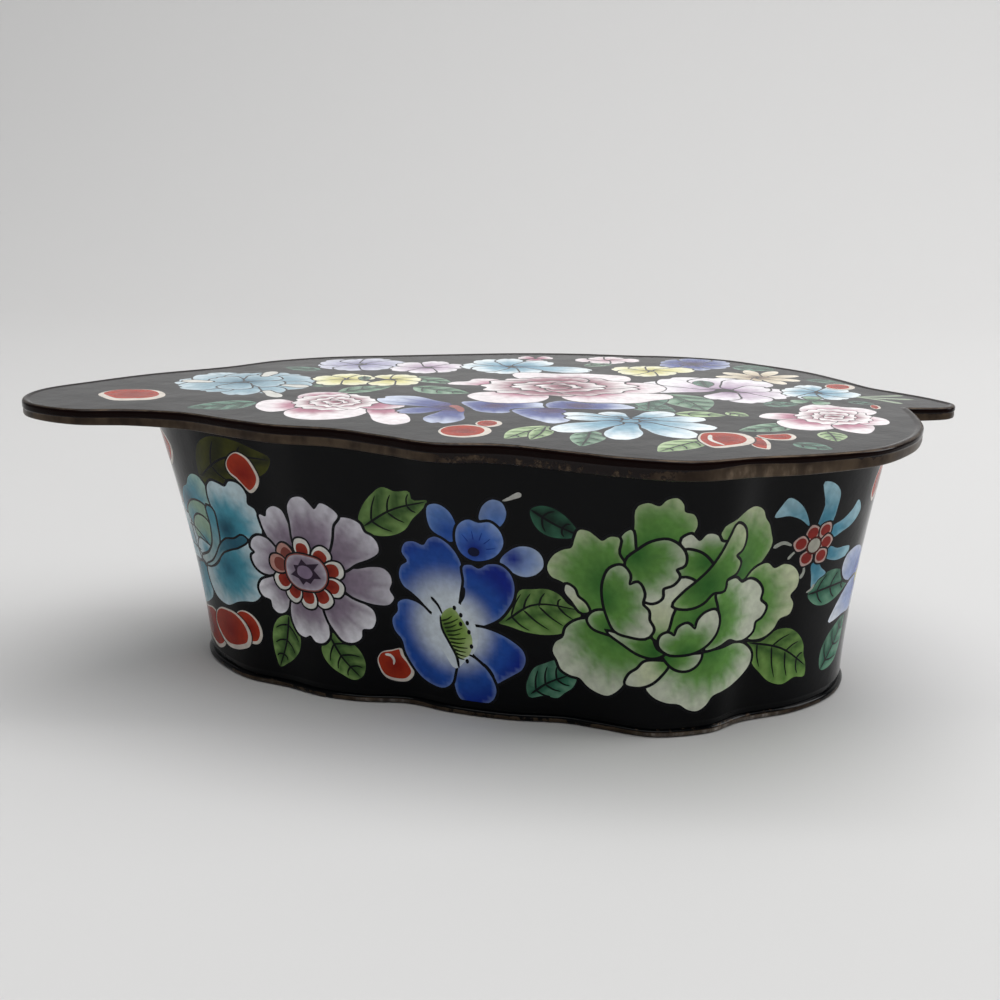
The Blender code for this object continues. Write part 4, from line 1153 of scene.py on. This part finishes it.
    for base, tip, width, bow in [((58.6, -1), (62.6, -3.4), 2.4, 0.2), ((55, 19), (61, 14.6), 3, 0.2),
                                  ((-30.6, 24.4), (-37.6, 27.6), 4, 0.2)]:
        small_leaf(sheet, base, tip, width, bow, LID_SEA, 2)
    small_leaf(sheet, (16.6, 31.4), (22, 33.4), 3.4, 0, LID_GREEN, 2)


tell(paint_lid_right)

# %% [markdown]
# ## From sheets to surfaces
#
# The body's painted sheet is the wall itself. The lip, the mouth's edge, the inside and the
# underside are profiles carried round the same outline, and meet the wall point for point, so all of
# it is one closed skin. Each corner also gets a place on a flat map, wrapped once round the piece.

# %% Rings carried round an outline
MERGE_STEP = 2e-7
SHARP_ANGLE = 50


class Skin:
    """Pieces of one surface, with what each corner of each face carries."""

    def __init__(self):
        self.points, self.faces, self.paint, self.map, self.normals, self.worn = [], [], [], [], [], []
        self.count = 0

    def add(self, points, faces, paint, spots, normals=None, worn=0.0):
        """Add faces that share their own points; paint, spots and normals are given per corner."""
        faces = np.asarray(faces) + self.count
        self.points.append(points)
        self.faces += faces.tolist()
        corners = faces.size
        self.paint.append(np.broadcast_to(paint, (corners, 4)))
        self.map.append(spots)
        self.normals.append(np.full((corners, 3), np.nan) if normals is None else normals)
        self.worn.append(np.broadcast_to(worn, len(points)))
        self.count += len(points)

    def rings(self, rows, run, worn, map_low, map_high, colour=BLACK):
        """Four-cornered faces between rows of points; row r sits at the share run[r] of the map."""
        rows = np.array(rows)
        count, around = rows.shape[:2]
        first = np.arange(around)
        second = np.roll(first, -1)
        base = (np.arange(count - 1) * around)[:, None]
        faces = np.stack([base + first, base + second, base + around + second, base + around + first], -1)
        across = np.stack([first, first + 1, first + 1, first], -1) / around
        height = np.array(run)[np.array([[0, 0, 1, 1]]) + np.arange(count - 1)[:, None]]
        height = map_low + (map_high - map_low) * height
        spots = np.stack(np.broadcast_arrays(across[None], height[:, None]), -1).reshape(-1, 2)
        worn = np.repeat(np.broadcast_to(worn, (count,)), around) if np.ndim(worn) < 2 else np.ravel(worn)
        self.add(rows.reshape(-1, 3), faces.reshape(-1, 4), (*colour, 0), spots, None, worn)

    def cap(self, row, tip, map_centre, map_size, up):
        """A fan of triangles from the last row to one point."""
        first = np.arange(len(row))
        second = np.roll(first, -1)
        order = (first, second) if up else (second, first)
        faces = np.stack([*order, np.full(len(row), len(row))], -1)
        flat = np.vstack([row, tip])[:, :2]
        flat = (flat - flat[-1]) / np.abs(flat - flat[-1]).max() * map_size + map_centre
        self.add(np.vstack([row, tip]), faces, (*BLACK, 0), flat[faces].reshape(-1, 2), None, 0.0)

    def build(self, name, material):
        """Merge points that coincide, then hand everything over to a mesh on the root body."""
        points = np.concatenate(self.points)
        worn = np.concatenate(self.worn)
        cells = np.round(points / MERGE_STEP).astype(int)
        first, merged = np.unique(cells, axis=0, return_index=True, return_inverse=True)[1:]
        merged = np.ravel(merged)
        faces = [[int(merged[i]) for i in face] for face in self.faces]
        mesh = bpy.data.meshes.new(name)
        mesh.from_pydata(points[first].tolist(), [], faces)
        mesh.shade_smooth()
        mesh.set_sharp_from_angle(angle=np.radians(SHARP_ANGLE))
        paint = mesh.color_attributes.new("paint", "FLOAT_COLOR", "CORNER")
        paint.data.foreach_set("color", np.concatenate(self.paint).ravel())
        # This value holds real wear of the enamel and, in places, a painted highlight.
        wear_and_highlight = mesh.attributes.new("wear_and_highlight", "FLOAT", "POINT")
        wear_and_highlight.data.foreach_set("value", worn[first])
        flat = mesh.uv_layers.new(name="OFBake")
        flat.uv.foreach_set("vector", np.concatenate(self.map).ravel())
        known = np.concatenate(self.normals)
        normals = np.empty(len(known) * 3)
        mesh.corner_normals.foreach_get("vector", normals)
        normals = normals.reshape(-1, 3)
        set_here = np.isfinite(known[:, 0])
        normals[set_here] = known[set_here]
        mesh.normals_split_custom_set(normals.tolist())
        mesh.materials.append(material)
        piece = bpy.data.objects.new(name, mesh)
        bpy.context.scene.collection.objects.link(piece)
        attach(piece, "root")
        loose = len(points) - len(first)
        print(name, len(first), "points,", len(faces), "faces,", loose, "merged")
        return piece

# %% [markdown]
# ## The body
#
# The sheet for the wall starts and ends at the back, in a gap between two flowers, and its two ends
# are merged. Below it a rounded lip and a shallow neck run round the foot, and above it the bare
# edge of the mouth turns over into the black inside.

# %% Cut and wrap the painted wall
MESH_STEP = 0.75
SEAM = -60.0
MAP_WALL = (0.36, 0.66)
around = int(round(GIRTH / MM / MESH_STEP))
wall_low, wall_high = NECK_TOP / MM, MOUTH / MM
rows_up = int(round((wall_high - wall_low) / MESH_STEP))
u_marks = SEAM + np.arange(around + 1) / around * GIRTH / MM
v_marks = np.linspace(wall_low, wall_high, rows_up + 1)


def frame_of(us, vs):
    """The closed border of a grid, once round through its edge points."""
    bottom = np.stack([us[:-1], np.full(len(us) - 1, vs[0])], 1)
    right = np.stack([np.full(len(vs) - 1, us[-1]), vs[:-1]], 1)
    top = np.stack([us[:0:-1], np.full(len(us) - 1, vs[-1])], 1)
    left = np.stack([np.full(len(vs) - 1, us[0]), vs[:0:-1]], 1)
    return np.vstack([bottom, right, top, left])


wall_sheet = Sheet()
paint_front(wall_sheet)
paint_back(wall_sheet)
inner_u, inner_v = np.meshgrid(u_marks[1:-1], v_marks[1:-1])
inner_grid = np.stack([inner_u.ravel(), inner_v.ravel()], 1)
spots, triangles, paint = cut_and_paint(wall_sheet, inner_grid, frame_of(u_marks, v_marks))
corners = spots[triangles].reshape(-1, 2)
body = Skin()
map_height = (corners[:, 1] - wall_low) / (wall_high - wall_low)
wall_map = np.stack([(corners[:, 0] - SEAM) / (GIRTH / MM),
                     MAP_WALL[0] + map_height * (MAP_WALL[1] - MAP_WALL[0])], 1)
normals = wall_normals(corners[:, 0] * MM, corners[:, 1] * MM)
body.add(wall(spots[:, 0] * MM, spots[:, 1] * MM), triangles, paint, wall_map, normals)

# %% Lip, mouth, inside and underside
FOOT_RING_WIDTH = 2.6 * MM
FOOT_RECESS = 1.2 * MM
FLOOR_FILLET = 2.0 * MM
FOOT_EDGE = 0.25 * MM
MOUTH_WEAR = 0.5
ring_u = u_marks[:-1] * MM


def level(loop, height):
    """A flat loop set at one height, or at a height for each point."""
    return np.column_stack([loop, np.broadcast_to(height, len(loop))])


def ring_at(inset, height):
    """The wall's outline at a height, moved inward, as points in space."""
    flat = wall(ring_u, np.array(height))[:, :2]
    return level(flat - outward(flat) * inset, height)


def foot_at(inset, height):
    """The foot's own outline, moved inward, as points in space."""
    flat = read_loop(FOOT, ring_u)
    return level(flat - outward(flat) * inset, height)


radius = LIP_THICKNESS / 2
turns = np.linspace(-np.pi / 2, np.pi / 2, 13)
ring_inset = FOOT_LIP + FOOT_RING_WIDTH
below = [foot_at(ring_inset, FOOT_RECESS), foot_at(ring_inset, FOOT_EDGE),
         foot_at(ring_inset - FOOT_EDGE, 0)]
below += [foot_at(radius * (1 - np.cos(a)), radius * (1 + np.sin(a))) for a in turns]
neck = np.linspace(0, 1, 6)[1:-1]
below += [foot_at(radius + (FOOT_LIP - radius) * s**2, LIP_THICKNESS + (NECK_TOP - LIP_THICKNESS) * s)
          for s in neck]
below += [ring_at(0, NECK_TOP)]
# The lip is worn to copper, more at the front. On three stretches of the front its top also gets a painted
# highlight: wear values above 1.2 that turn the copper pale.
lip_wear_and_highlight = np.zeros((len(below), len(ring_u)))
front_share = np.clip(-read_loop(FOOT, ring_u)[:, 1] / (14 * MM), 0, 1)
lip_highlight_share = front_share * np.interp(read_loop(FOOT, ring_u)[:, 0] / MM,
                                       [-41, -38, -34, -31, -23, -19, -11, -7, 18, 28, 46, 54],
                                       [0, 0.9, 0.9, 0, 0, 0.8, 0.8, 0, 0, 1, 1, 0])
lip_wear_and_highlight[2:6] = 0.6
lip_wear_and_highlight[6:11] = 0.36 + 0.16 * front_share + 1.2 * lip_highlight_share
lip_wear_and_highlight[11:16] = 0.22 + 0.2 * lip_highlight_share
body.rings(below, np.linspace(0, 1, len(below)), lip_wear_and_highlight, 0.26, MAP_WALL[0])
body.cap(below[0], [*below[0][:, :2].mean(0), FOOT_RECESS], (0.25, 0.13), 0.12, False)

edge = BODY_SHEET / 2
over = np.linspace(0, np.pi, 9)
mouth_rows = [ring_at(0, MOUTH)]
mouth_rows += [ring_at(edge - edge * np.cos(a), MOUTH) for a in over[1:-1]]
mouth_rows += [ring_at(BODY_SHEET, MOUTH)]
floor_top = FOOT_RECESS + BODY_SHEET
inside_rows = [ring_at(BODY_SHEET, z) for z in np.linspace(MOUTH, floor_top + FLOOR_FILLET, 40)[1:]]
fillet = np.linspace(0, np.pi / 2, 8)[1:]
inside_rows += [ring_at(BODY_SHEET + FLOOR_FILLET * (1 - np.cos(a)),
                        floor_top + FLOOR_FILLET * (1 - np.sin(a))) for a in fillet]
inner_rows = mouth_rows + inside_rows
mouth_wear = np.zeros(len(inner_rows))
mouth_wear[1 : len(mouth_rows)] = MOUTH_WEAR
body.rings(inner_rows, np.linspace(0, 1, len(inner_rows)), mouth_wear, MAP_WALL[1], 1.0)
floor_ring = inner_rows[-1]
body.cap(floor_ring, [*floor_ring[:, :2].mean(0), floor_top], (0.75, 0.13), 0.12, True)
print(len(below), "rings below the wall and", len(inner_rows), "above and inside it")

# %% [markdown]
# ## The lid
#
# The plate is a flat painted sheet inside the bead. From it the bead rolls over into the rim, whose
# lower edge is bare copper worn brown. Under the plate a collar keeps the lid in place.

# %% Cut the painted plate
LID_STEP = 0.7
CLEARANCE = 0.35
plate_border = PLATE / MM
lid_sheet = Sheet()
paint_lid_left(lid_sheet)
paint_lid_right(lid_sheet)
grid_x = np.arange(plate_border[:, 0].min(), plate_border[:, 0].max(), LID_STEP)
grid_y = np.arange(plate_border[:, 1].min(), plate_border[:, 1].max(), LID_STEP)
plate_x, plate_y = np.meshgrid(grid_x, grid_y)
plate_grid = np.stack([plate_x.ravel(), plate_y.ravel()], 1)
plate_grid = plate_grid[in_blocks(inside, plate_grid, plate_border)]
plate_grid = plate_grid[in_blocks(edge_distance, plate_grid, plate_border) > CLEARANCE]
spots, triangles, paint = cut_and_paint(lid_sheet, plate_grid, plate_border)
corners = spots[triangles].reshape(-1, 2)
lid = Skin()
plate_map = (corners - LID_LOW[:2] / MM) / (LID_HIGH[0] - LID_LOW[0]) * MM
upward = np.broadcast_to([0.0, 0.0, 1.0], (len(corners), 3))
lid.add(level(spots * MM, PLATE_TOP), triangles, paint, plate_map, upward)

# %% Carry the rim and the collar round the plate
BAND_INSET = 0.10 * MM
BEAD_ROUND = 0.6 * MM
SHOULDER = 0.2
DULL = -1.0
COLLAR_POINTS = 900


def seen_from_middle(loop, guide):
    """Points of a loop in the same directions from the middle as the guide's points."""
    angle = np.arctan2(loop[:, 1], loop[:, 0])
    wanted = np.arctan2(guide[:, 1], guide[:, 0])
    order = np.argsort(angle)
    return np.stack([np.interp(wanted, angle[order], loop[order, i], period=2 * np.pi) for i in (0, 1)], 1)


def lid_ring(inset, height):
    """The lid's outline moved inward, at one height or at a height for each point."""
    return level(LID - LID_WAY * inset, height)


low_x, high_x = LID_LOW[0], LID_HIGH[0]
rim = np.interp(LID[:, 0], [low_x, 0.4 * low_x, 0.6 * high_x, high_x],
                [RIM_AT_TIP, RIM_AT_MIDDLE, RIM_AT_MIDDLE, RIM_AT_STEM])
collar_low = MOUTH - COLLAR_DEPTH
fine_u = np.linspace(0, GIRTH, COLLAR_POINTS, endpoint=False)
inner = wall(fine_u, np.array(collar_low))[:, :2]
inner = inner - outward(inner) * BODY_SHEET
collar_out = inner - outward(inner) * COLLAR_CLEARANCE
collar_in = seen_from_middle(collar_out - outward(collar_out) * COLLAR_SHEET, LID)
collar_out = seen_from_middle(collar_out, LID)
soft_edge = 0.2 * MM
lower = [level(collar_in, UNDERSIDE), level(collar_in, collar_low + soft_edge),
         level(collar_in * 0.5 + collar_out * 0.5, collar_low), level(collar_out, collar_low + soft_edge),
         level(collar_out, UNDERSIDE), lid_ring(LID_SHEET, UNDERSIDE),
         lid_ring(LID_SHEET, LID_TOP - rim + soft_edge), lid_ring(LID_SHEET * 0.75, LID_TOP - rim)]
lower_wear = [0, 0, 0, 0, 0, 0, 0.45, 0.9]
glaze_line = np.interp(LID[:, 0] / MM, [-75, -40, 0, 32, 38, 46, 54, 75],
                       [0.52, 0.47, 0.52, 0.45, 0.30, 0.38, 0.34, 0.40])
band = [(BAND_INSET + 0.25 * MM, 1.0), (BAND_INSET + 0.06 * MM, 0.93), (BAND_INSET, 0.8),
        (BAND_INSET, 0.5), (BAND_INSET, 0.2), (BAND_INSET, 0.06)]
side = [lid_ring(inset, LID_TOP - rim * (glaze_line + (1 - glaze_line) * share)) for inset, share in band]
swell = [(0.03 * MM, 1.0), (0.0, 0.85), (0.0, 0.5), (0.0, 0.2)]
side += [lid_ring(inset, LID_TOP - rim * (SHOULDER + (glaze_line - SHOULDER) * share))
         for inset, share in swell]
bead = []
for a in np.linspace(0, np.pi / 2, 9):
    bead.append(lid_ring(BEAD_ROUND * (1 - np.cos(a)), LID_TOP - SHOULDER * rim * (1 - np.sin(a))))
for share in np.linspace(0, 1, 6)[1:]:
    bead.append(lid_ring(BEAD_ROUND + (BEAD_WIDTH - BEAD_ROUND) * share,
                         LID_TOP - BEAD_RISE * soft(share)))
rows = lower + side + bead
bronze = np.interp(LID[:, 0] / MM, [-75, -66, -52, -10, -3, 22, 30, 37, 50, 54, 62, 75],
                   [0.55, 0.7, 0.95, 0.95, 0.38, 0.34, 0.5, 1.35, 1.25, 0.55, 0.7, 0.5])
wear_and_highlight = np.zeros((len(rows), len(LID)))
wear_and_highlight[: len(lower)] = np.array(lower_wear)[:, None]
wear_and_highlight[len(lower) : len(lower) + len(band)] = np.array([1.3, 1.3, 1.3, 1.25, 1.1, 0.85])[:, None] * bronze
crest = len(lower) + len(side) + 8
wear_and_highlight[len(lower) + len(band) : crest - 5] = DULL
wear_and_highlight[len(lower) + len(band)] = 0.25 * bronze
# Along the bead's crest the enamel is worn through to copper, most from x = 36 to 60 mm. This line is
# partly real wear and partly a painted highlight on the crest.
wear_and_highlight[crest - 5 : crest] = np.array([0.3, 0.75, 1.1, 0.9, 0.45])[:, None] * np.interp(
    LID[:, 0] / MM, [-75, -45, 0, 25, 36, 60, 75], [0.72, 0.72, 0.62, 0.66, 0.95, 1.0, 0.7])
lid.rings(rows, np.linspace(0, 1, len(rows)), wear_and_highlight, 0.62, 0.80, RIM_BLACK)
lid.cap(rows[0], [0, 0, UNDERSIDE], (0.5, 0.9), 0.09, False)
print(len(rows), "rings of", len(LID), "points round the lid")

# %% [markdown]
# ## Enamel and worn copper
#
# Enamel is glass, so the finish is smooth and glossy over flat colour. The painted colours are a
# little duller than the black ground. Fine noise breaks up each brushed colour and a very slow noise
# makes the glass wavy. Where the wear value is near 1 the brown copper shows. Above 1.2 it turns
# paler, which paints a highlight on the foot's lip and lightens part of the lid's band. Where the
# value is below 0, as round the side of the lid's rim, the enamel has lost its shine.

# %% Materials
DARK_COPPER = (0.026, 0.017, 0.012)
BROWN_COPPER = (0.078, 0.055, 0.036)
COPPER_ROUGHNESS = 0.36


def enamel(name, seed, index, pale_copper_and_highlight):
    """Painted enamel: dull where the wear attribute is below 0, worn copper near 1, and paler copper above
    1.2, which on the foot's lip is a painted highlight.
    """
    material = bpy.data.materials.new(name)
    material.use_nodes = True
    tree = material.node_tree
    nodes, links = tree.nodes, tree.links
    shader = nodes["Principled BSDF"]

    def node(kind, numbers=(), **values):
        made = nodes.new(kind)
        for key, value in values.items():
            setattr(made, key, value)
        for key, number in dict(numbers).items():
            made.inputs[key].default_value = number
        return made

    def noise(scale, detail, offset=0.0, rough=0.5, upright=1.0):
        mapping = node("ShaderNodeMapping", {"Location": (seed + offset, offset, 0),
                                             "Scale": (1, 1, upright)})
        links.new(place.outputs["Object"], mapping.inputs["Vector"])
        made = node("ShaderNodeTexNoise", {"Scale": scale, "Detail": detail, "Roughness": rough})
        links.new(mapping.outputs["Vector"], made.inputs["Vector"])
        return made.outputs["Fac"]

    def ramp(value, low, high, to_low=0.0, to_high=1.0):
        made = node("ShaderNodeMapRange", {"From Min": low, "From Max": high, "To Min": to_low,
                                           "To Max": to_high}, interpolation_type="SMOOTHSTEP")
        links.new(value, made.inputs["Value"])
        return made.outputs["Result"]

    def combined(operation, a, b):
        made = node("ShaderNodeMath", operation=operation)
        for socket, value in zip(made.inputs, (a, b)):
            if isinstance(value, float):
                socket.default_value = value
            else:
                links.new(value, socket)
        return made.outputs["Value"]

    def blend_colours(factor, a, b):
        made = node("ShaderNodeMix", data_type="RGBA")
        links.new(factor, made.inputs[0])
        for socket, value in ((made.inputs[6], a), (made.inputs[7], b)):
            if isinstance(value, tuple):
                socket.default_value = (*value, 1)
            else:
                links.new(value, socket)
        return made.outputs[2]

    place = node("ShaderNodeTexCoord")
    paint = node("ShaderNodeAttribute", attribute_name="paint")
    worn = node("ShaderNodeAttribute", attribute_name="wear_and_highlight")
    brushed = combined("MULTIPLY", ramp(noise(900, 3), 0.3, 0.7, 0.9, 1.08),
                       ramp(noise(260, 2, 3), 0.3, 0.7, 0.94, 1.05))
    strength = node("ShaderNodeVectorMath", operation="SCALE")
    links.new(paint.outputs["Color"], strength.inputs[0])
    links.new(brushed, strength.inputs["Scale"])
    ragged = combined("MULTIPLY", combined("SUBTRACT", noise(800, 4, 5, 0.6), 0.5), 0.9)
    bare = ramp(combined("ADD", worn.outputs["Fac"], ragged), 0.44, 0.56)
    copper = blend_colours(ramp(noise(300, 3, 7, 0.6, 0.5), 0.3, 0.7), DARK_COPPER, BROWN_COPPER)
    # Wear values above 1.2 turn the copper pale: a painted highlight on the foot's lip, and a paler copper
    # along part of the lid's band.
    pale_wear_and_highlight = combined("MULTIPLY", ramp(noise(700, 3, 9, 0.6, 0.4), 0.4, 0.75, 0.12, 1.0),
                      ramp(worn.outputs["Fac"], 1.2, 1.7))
    copper = blend_colours(pale_wear_and_highlight, copper, pale_copper_and_highlight)
    links.new(blend_colours(bare, strength.outputs["Vector"], copper), shader.inputs["Base Color"])
    links.new(combined("MULTIPLY", bare, 0.6), shader.inputs["Metallic"])
    glaze = combined("ADD", combined("MULTIPLY", paint.outputs["Alpha"], 0.10),
                     ramp(noise(420, 3, 11), 0.3, 0.8, 0.07, 0.13))
    rough = node("ShaderNodeMix", data_type="FLOAT")
    links.new(bare, rough.inputs[0])
    links.new(glaze, rough.inputs[2])
    rough.inputs[3].default_value = COPPER_ROUGHNESS
    links.new(rough.outputs[0], shader.inputs["Roughness"])
    wavy = node("ShaderNodeBump", {"Strength": 0.24, "Distance": 0.6 * MM})
    links.new(noise(110, 2, 13), wavy.inputs["Height"])
    pits = node("ShaderNodeBump", {"Strength": 0.10, "Distance": 0.2 * MM})
    links.new(noise(1500, 3, 15), pits.inputs["Height"])
    links.new(wavy.outputs["Normal"], pits.inputs["Normal"])
    links.new(pits.outputs["Normal"], shader.inputs["Normal"])
    links.new(ramp(worn.outputs["Fac"], DULL, 0.0, 0.15, 0.5), shader.inputs["Specular IOR Level"])
    shader.inputs["IOR"].default_value = index
    return material


BODY_ENAMEL = enamel("painted_body_enamel", 0.0, 1.20, (0.34, 0.31, 0.28))
LID_ENAMEL = enamel("painted_lid_enamel", 4.0, 1.27, (0.20, 0.15, 0.105))
body_piece = body.build("painted_body", BODY_ENAMEL)
lid_piece = lid.build("painted_lid", LID_ENAMEL)
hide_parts("box_body")
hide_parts("lid")

# %% [markdown]
# ## Floor, light and camera
#
# The box stands on a plain pale floor that sweeps up behind it. The light is broad and comes from
# above, with a weaker one from the right and a narrow one over the back, so the lid is bright, the
# front is in its own soft shade, and the glossy black mirrors the pale surroundings at a low angle.

# %% Floor
def sweep(name, width, near, bend_at, radius, height):
    """A sheet that runs flat along y, then turns up along a quarter circle and goes on upright."""
    flat = np.linspace(-near, bend_at, 30)
    turn = np.linspace(0, np.pi / 2, 24)[1:]
    rise = np.linspace(radius, height, 10)[1:]
    y = np.concatenate([flat, bend_at + radius * np.sin(turn), np.full(len(rise), bend_at + radius)])
    z = np.concatenate([np.zeros(len(flat)), radius * (1 - np.cos(turn)), rise])
    x = np.linspace(-width / 2, width / 2, 30)
    points = np.stack(np.broadcast_arrays(x[None], y[:, None], z[:, None]), -1).reshape(-1, 3)
    first = (np.arange(len(y) - 1)[:, None] * len(x) + np.arange(len(x) - 1)).ravel()
    faces = np.stack([first, first + 1, first + 1 + len(x), first + len(x)], 1)
    mesh = bpy.data.meshes.new(name)
    mesh.from_pydata(points.tolist(), [], faces.tolist())
    mesh.shade_smooth()
    piece = bpy.data.objects.new(name, mesh)
    bpy.context.scene.collection.objects.link(piece)
    return piece


pale = bpy.data.materials.new("pale_floor")
pale.use_nodes = True
pale_shader = pale.node_tree.nodes["Principled BSDF"]
pale_shader.inputs["Base Color"].default_value = (0.62, 0.615, 0.61, 1)
pale_shader.inputs["Roughness"].default_value = 0.9
pale_shader.inputs["Specular IOR Level"].default_value = 0.1
floor = sweep("floor", 3.0, 1.2, 0.42, 0.30, 1.2)
floor.data.materials.append(pale)
print("floor of", len(floor.data.polygons), "faces")

# %% Light
def soft_light(name, place, size, power):
    """A white area light of a width and a depth, turned to face the middle of the floor."""
    lamp = bpy.data.lights.new(name, "AREA")
    lamp.shape = "RECTANGLE"
    lamp.size, lamp.size_y = size
    lamp.energy = power
    made = bpy.data.objects.new(name, lamp)
    made.location = place
    made.rotation_euler = (Vector((0, 0, 0)) - Vector(place)).to_track_quat("-Z", "Y").to_euler()
    bpy.context.scene.collection.objects.link(made)


soft_light("ceiling", (0.08, -0.05, 1.0), (1.3, 0.9), 9.2)
soft_light("window", (0.85, 0.08, 0.60), (0.5, 0.5), 4.0)
soft_light("strip", (0.0, 0.30, 1.0), (1.6, 0.12), 1.8)
world = bpy.data.worlds.new("room")
world.use_nodes = True
air = world.node_tree.nodes["Background"]
air.inputs["Color"].default_value = (0.96, 0.98, 1.0, 1)
air.inputs["Strength"].default_value = 0.18
bpy.context.scene.world = world
bpy.context.scene.view_settings.view_transform = "Standard"

# %% Camera
CAMERA_PLACE = (0.0141, -0.240, 0.0918)
CAMERA_TURN = (75.3, 0.0, 2.7)
LENS = 54
SENSOR_WIDTH = 36
eye = bpy.data.cameras.new("camera")
eye.lens = LENS
eye.sensor_width = SENSOR_WIDTH
eye.clip_start = 0.01
camera = bpy.data.objects.new("camera", eye)
camera.location = CAMERA_PLACE
camera.rotation_euler = np.radians(CAMERA_TURN)
bpy.context.scene.collection.objects.link(camera)
bpy.context.scene.camera = camera
print("camera", round(float(np.linalg.norm(CAMERA_PLACE)), 3), "m from the middle of the floor")
